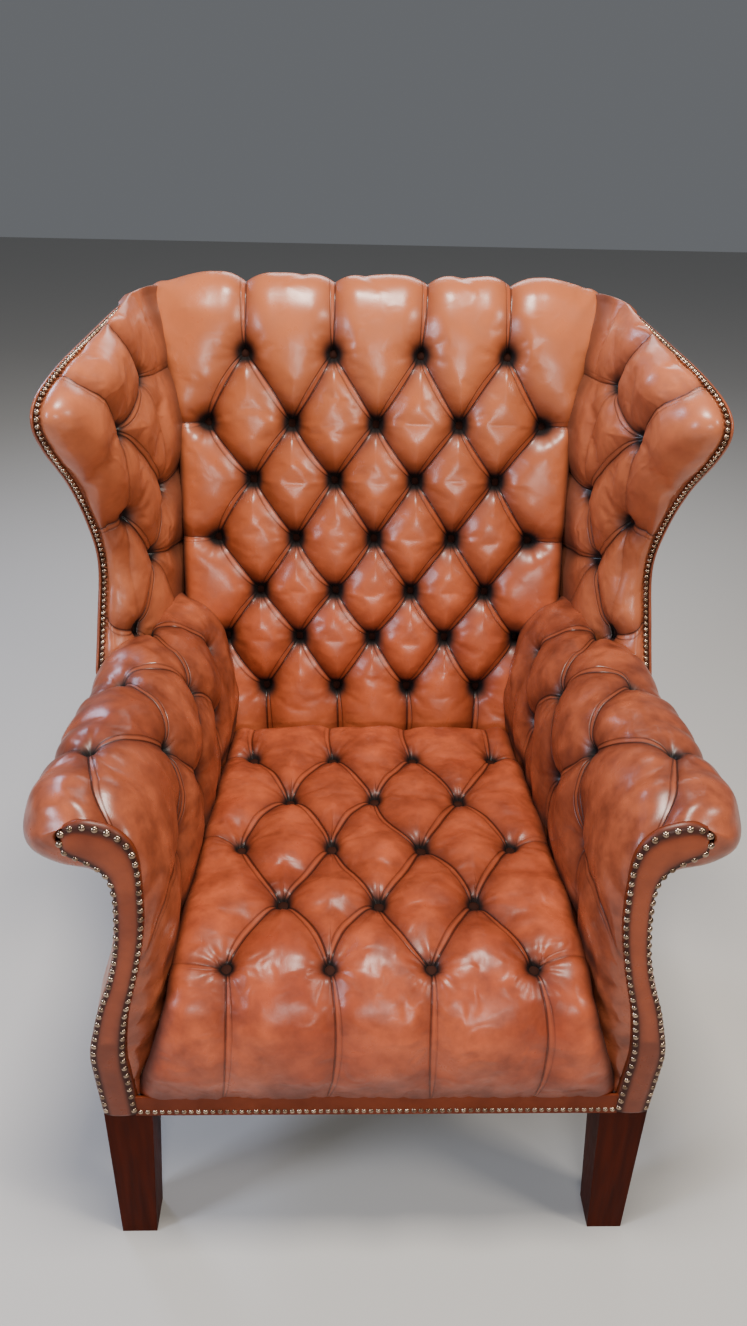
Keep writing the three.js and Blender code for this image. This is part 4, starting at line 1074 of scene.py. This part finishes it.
def outside_back():
    right = [(post_outer(z), z) for z in np.linspace(OUTSIDE_FOOT, OUTSIDE_TOP, 12)]
    left = [(-x, z) for x, z in right[::-1]]
    pad_over("outside_back_leather", "outside_back", right + left, BACK_MIDDLE,
             lambda x, z, rise: place(x, outside_s(z) + rise, z))


# ---- Legs and border ----

def bevelled(name, node_name, material, slot, width=0.0022, segments=3):
    """A carried-over solid with softened edges."""
    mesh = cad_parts[node_name].data.copy()
    mesh.materials.clear()
    mesh.materials.append(material)
    piece = bpy.data.objects.new(name, mesh)
    bpy.context.collection.objects.link(piece)
    piece.modifiers.new("weld", "WELD").merge_threshold = 0.0002
    planar = piece.modifiers.new("planar", "DECIMATE")
    planar.decimate_type = "DISSOLVE"
    planar.angle_limit = math.radians(1.5)
    bevel = piece.modifiers.new("bevel", "BEVEL")
    bevel.width = width
    bevel.segments = segments
    bevel.limit_method = "ANGLE"
    bevel.angle_limit = math.radians(25)
    evaluated = piece.evaluated_get(bpy.context.evaluated_depsgraph_get())
    finished = bpy.data.meshes.new_from_object(evaluated)
    piece.modifiers.clear()
    piece.data = finished
    finish_piece(piece, slot, node_name)


# ---- Cloth under the seat ----

# Half of its width at distances s behind the front, notched round the legs.
COVER_LINE = [(0.006, 0.268), (0.0615, 0.268), (0.0625, 0.317), (0.5815, 0.2705), (0.5825, 0.234),
              (0.622, 0.234)]
COVER_SAG, COVER_THICK = 0.0030, 0.0009


def dust_cloth():
    """Black cloth tacked flat under the rails, sagging a little between them."""
    line = np.array(COVER_LINE)
    s = np.unique(np.concatenate([line[:, 0], np.linspace(line[0, 0], line[-1, 0], 90)]))[:, None]
    half = np.interp(s, line[:, 0], line[:, 1])
    x = np.linspace(-1, 1, 91) * half
    inner = np.clip((1 - np.abs(x) / 0.262) / 0.9, 0, 1) * ease((s - 0.03) / 0.2) * ease((0.60 - s) / 0.2)
    ripple = 0.0005 * swell(np.stack(np.broadcast_arrays(x, s), axis=-1), np.random.default_rng(3))
    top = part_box("dust_cover")[1][2]
    low = place(x, s, top - COVER_THICK - (COVER_SAG + ripple) * ease(inner / 0.6))
    piece = double_sheet("dust_cloth", low, low + [0, 0, COVER_THICK], BLACK_CLOTH)
    finish_piece(piece, "black_cloth", "dust_cover")


# ---- Building ----

upholster("seat_cushion", seat(), 0.040, SEAT_LEATHER, ("seat_cover", "seat_pad"))
upholster("back_cushion", back(), 0.045, RED_LEATHER, ("back_cover", "back_pad"))
side_panels = {"arm": (arm(), 0.026, ARM_LEATHER), "wing": (wing(), 0.020, TAN_LEATHER)}
for side, mirrored in (("right", False), ("left", True)):
    for kind, made in side_panels.items():
        upholster(f"{kind}_leather_{side}", *made, (f"{kind}_cover_{side}", f"{kind}_pad_{side}"), mirrored)
    facing(side, mirrored)
    wing_nails(side, mirrored)
    facing_nails(side, mirrored)
    for end in ("front", "rear"):
        bevelled(f"{end}_leg_wood_{side}", f"{end}_leg_{side}", MAHOGANY, "mahogany")
    outside_arm(side, mirrored)
    outside_wing(side, mirrored)
outside_back()
bevelled("border_leather", "front_border", SHADED_BORDER_LEATHER, "leather", 0.001, 2)
border_line = place(np.linspace(-0.289, 0.289, 60), -0.0038, RAIL_BOTTOM + 0.0045)
front_nails("border_nail_heads", border_line, "front_nails", "border")
dust_cloth()

KEPT = {"canvas": CANVAS, "webbing": WEBBING, "spring": SPRING_STEEL}
for name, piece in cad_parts.items():
    if not piece.hide_render:
        piece.data.materials.clear()
        piece.data.materials.append(next((KEPT[key] for key in KEPT if key in name), BEECH))


# ---- Stage, light and camera ----

def studio():
    material, tree, _ = new_material("pale_floor")
    set_shader(tree, (0.48, 0.467, 0.445, 1), Roughness=0.75)
    size = 9.0
    corners = [(-size, -size, 0), (size, -size, 0), (size, size, 0), (-size, size, 0)]
    mesh_object("floor", corners, [(0, 1, 2, 3)], material, False)
    world = bpy.data.worlds.new("soft_room")
    world.use_nodes = True
    background = world.node_tree.nodes["Background"].inputs
    background["Color"].default_value = (0.80, 0.84, 0.90, 1)
    background["Strength"].default_value = 0.17
    bpy.context.scene.world = world


def lamp(name, place_at, target, size, power, colour):
    data = bpy.data.lights.new(name, "AREA")
    data.shape = "RECTANGLE"
    data.size, data.size_y = size
    data.energy = power
    data.color = colour
    made = bpy.data.objects.new(name, data)
    made.location = place_at
    direction = Vector(target) - Vector(place_at)
    made.rotation_euler = direction.to_track_quat("-Z", "Y").to_euler()
    bpy.context.collection.objects.link(made)


def camera():
    """The photographer stood over the chair, looking down at it almost from straight in front."""
    pitch, yaw, roll = 0.5152, 0.0364, 0.0258
    x, s, z = -0.0492, -0.8170, 1.3256
    forward = Vector((math.sin(yaw) * math.cos(pitch), math.cos(yaw) * math.cos(pitch), -math.sin(pitch)))
    level = Vector((math.cos(yaw), -math.sin(yaw), 0))
    upright = level.cross(forward)
    right = level * math.cos(roll) + upright * math.sin(roll)
    up = upright * math.cos(roll) - level * math.sin(roll)
    turn = Matrix((right, up, -forward)).transposed().to_4x4()
    data = bpy.data.cameras.new("camera")
    data.lens = 27.93
    data.sensor_width = 36.0
    made = bpy.data.objects.new("camera", data)
    made.matrix_world = Matrix.Translation((x, s + FRONT, z)) @ turn
    bpy.context.collection.objects.link(made)
    bpy.context.scene.camera = made


studio()
lamp("overhead_softbox", (0.0, -0.5, 2.9), (0, 0.05, 0.6), (0.60, 0.45), 84, (1.0, 0.93, 0.84))
lamp("left_window", (-2.2, -1.3, 1.6), (0, 0, 0.5), (0.50, 0.75), 42, (0.70, 0.79, 1.0))
lamp("right_softbox", (2.1, -1.3, 2.3), (0, 0, 0.5), (0.55, 0.55), 38, (1.0, 0.92, 0.82))
lamp("front_softbox", (0.15, -2.6, 1.45), (0, -0.2, 0.45), (0.75, 0.28), 27, (1.0, 0.96, 0.92))
lamp("rear_window", (-1.6, 1.45, 1.9), (0.2, 0, 0.6), (0.55, 0.55), 22, (0.62, 0.70, 1.0))
lamp("rear_softbox", (0.3, 2.4, 2.4), (0, 0.2, 0.6), (1.6, 1.0), 24, (0.95, 0.97, 1.0))
camera()
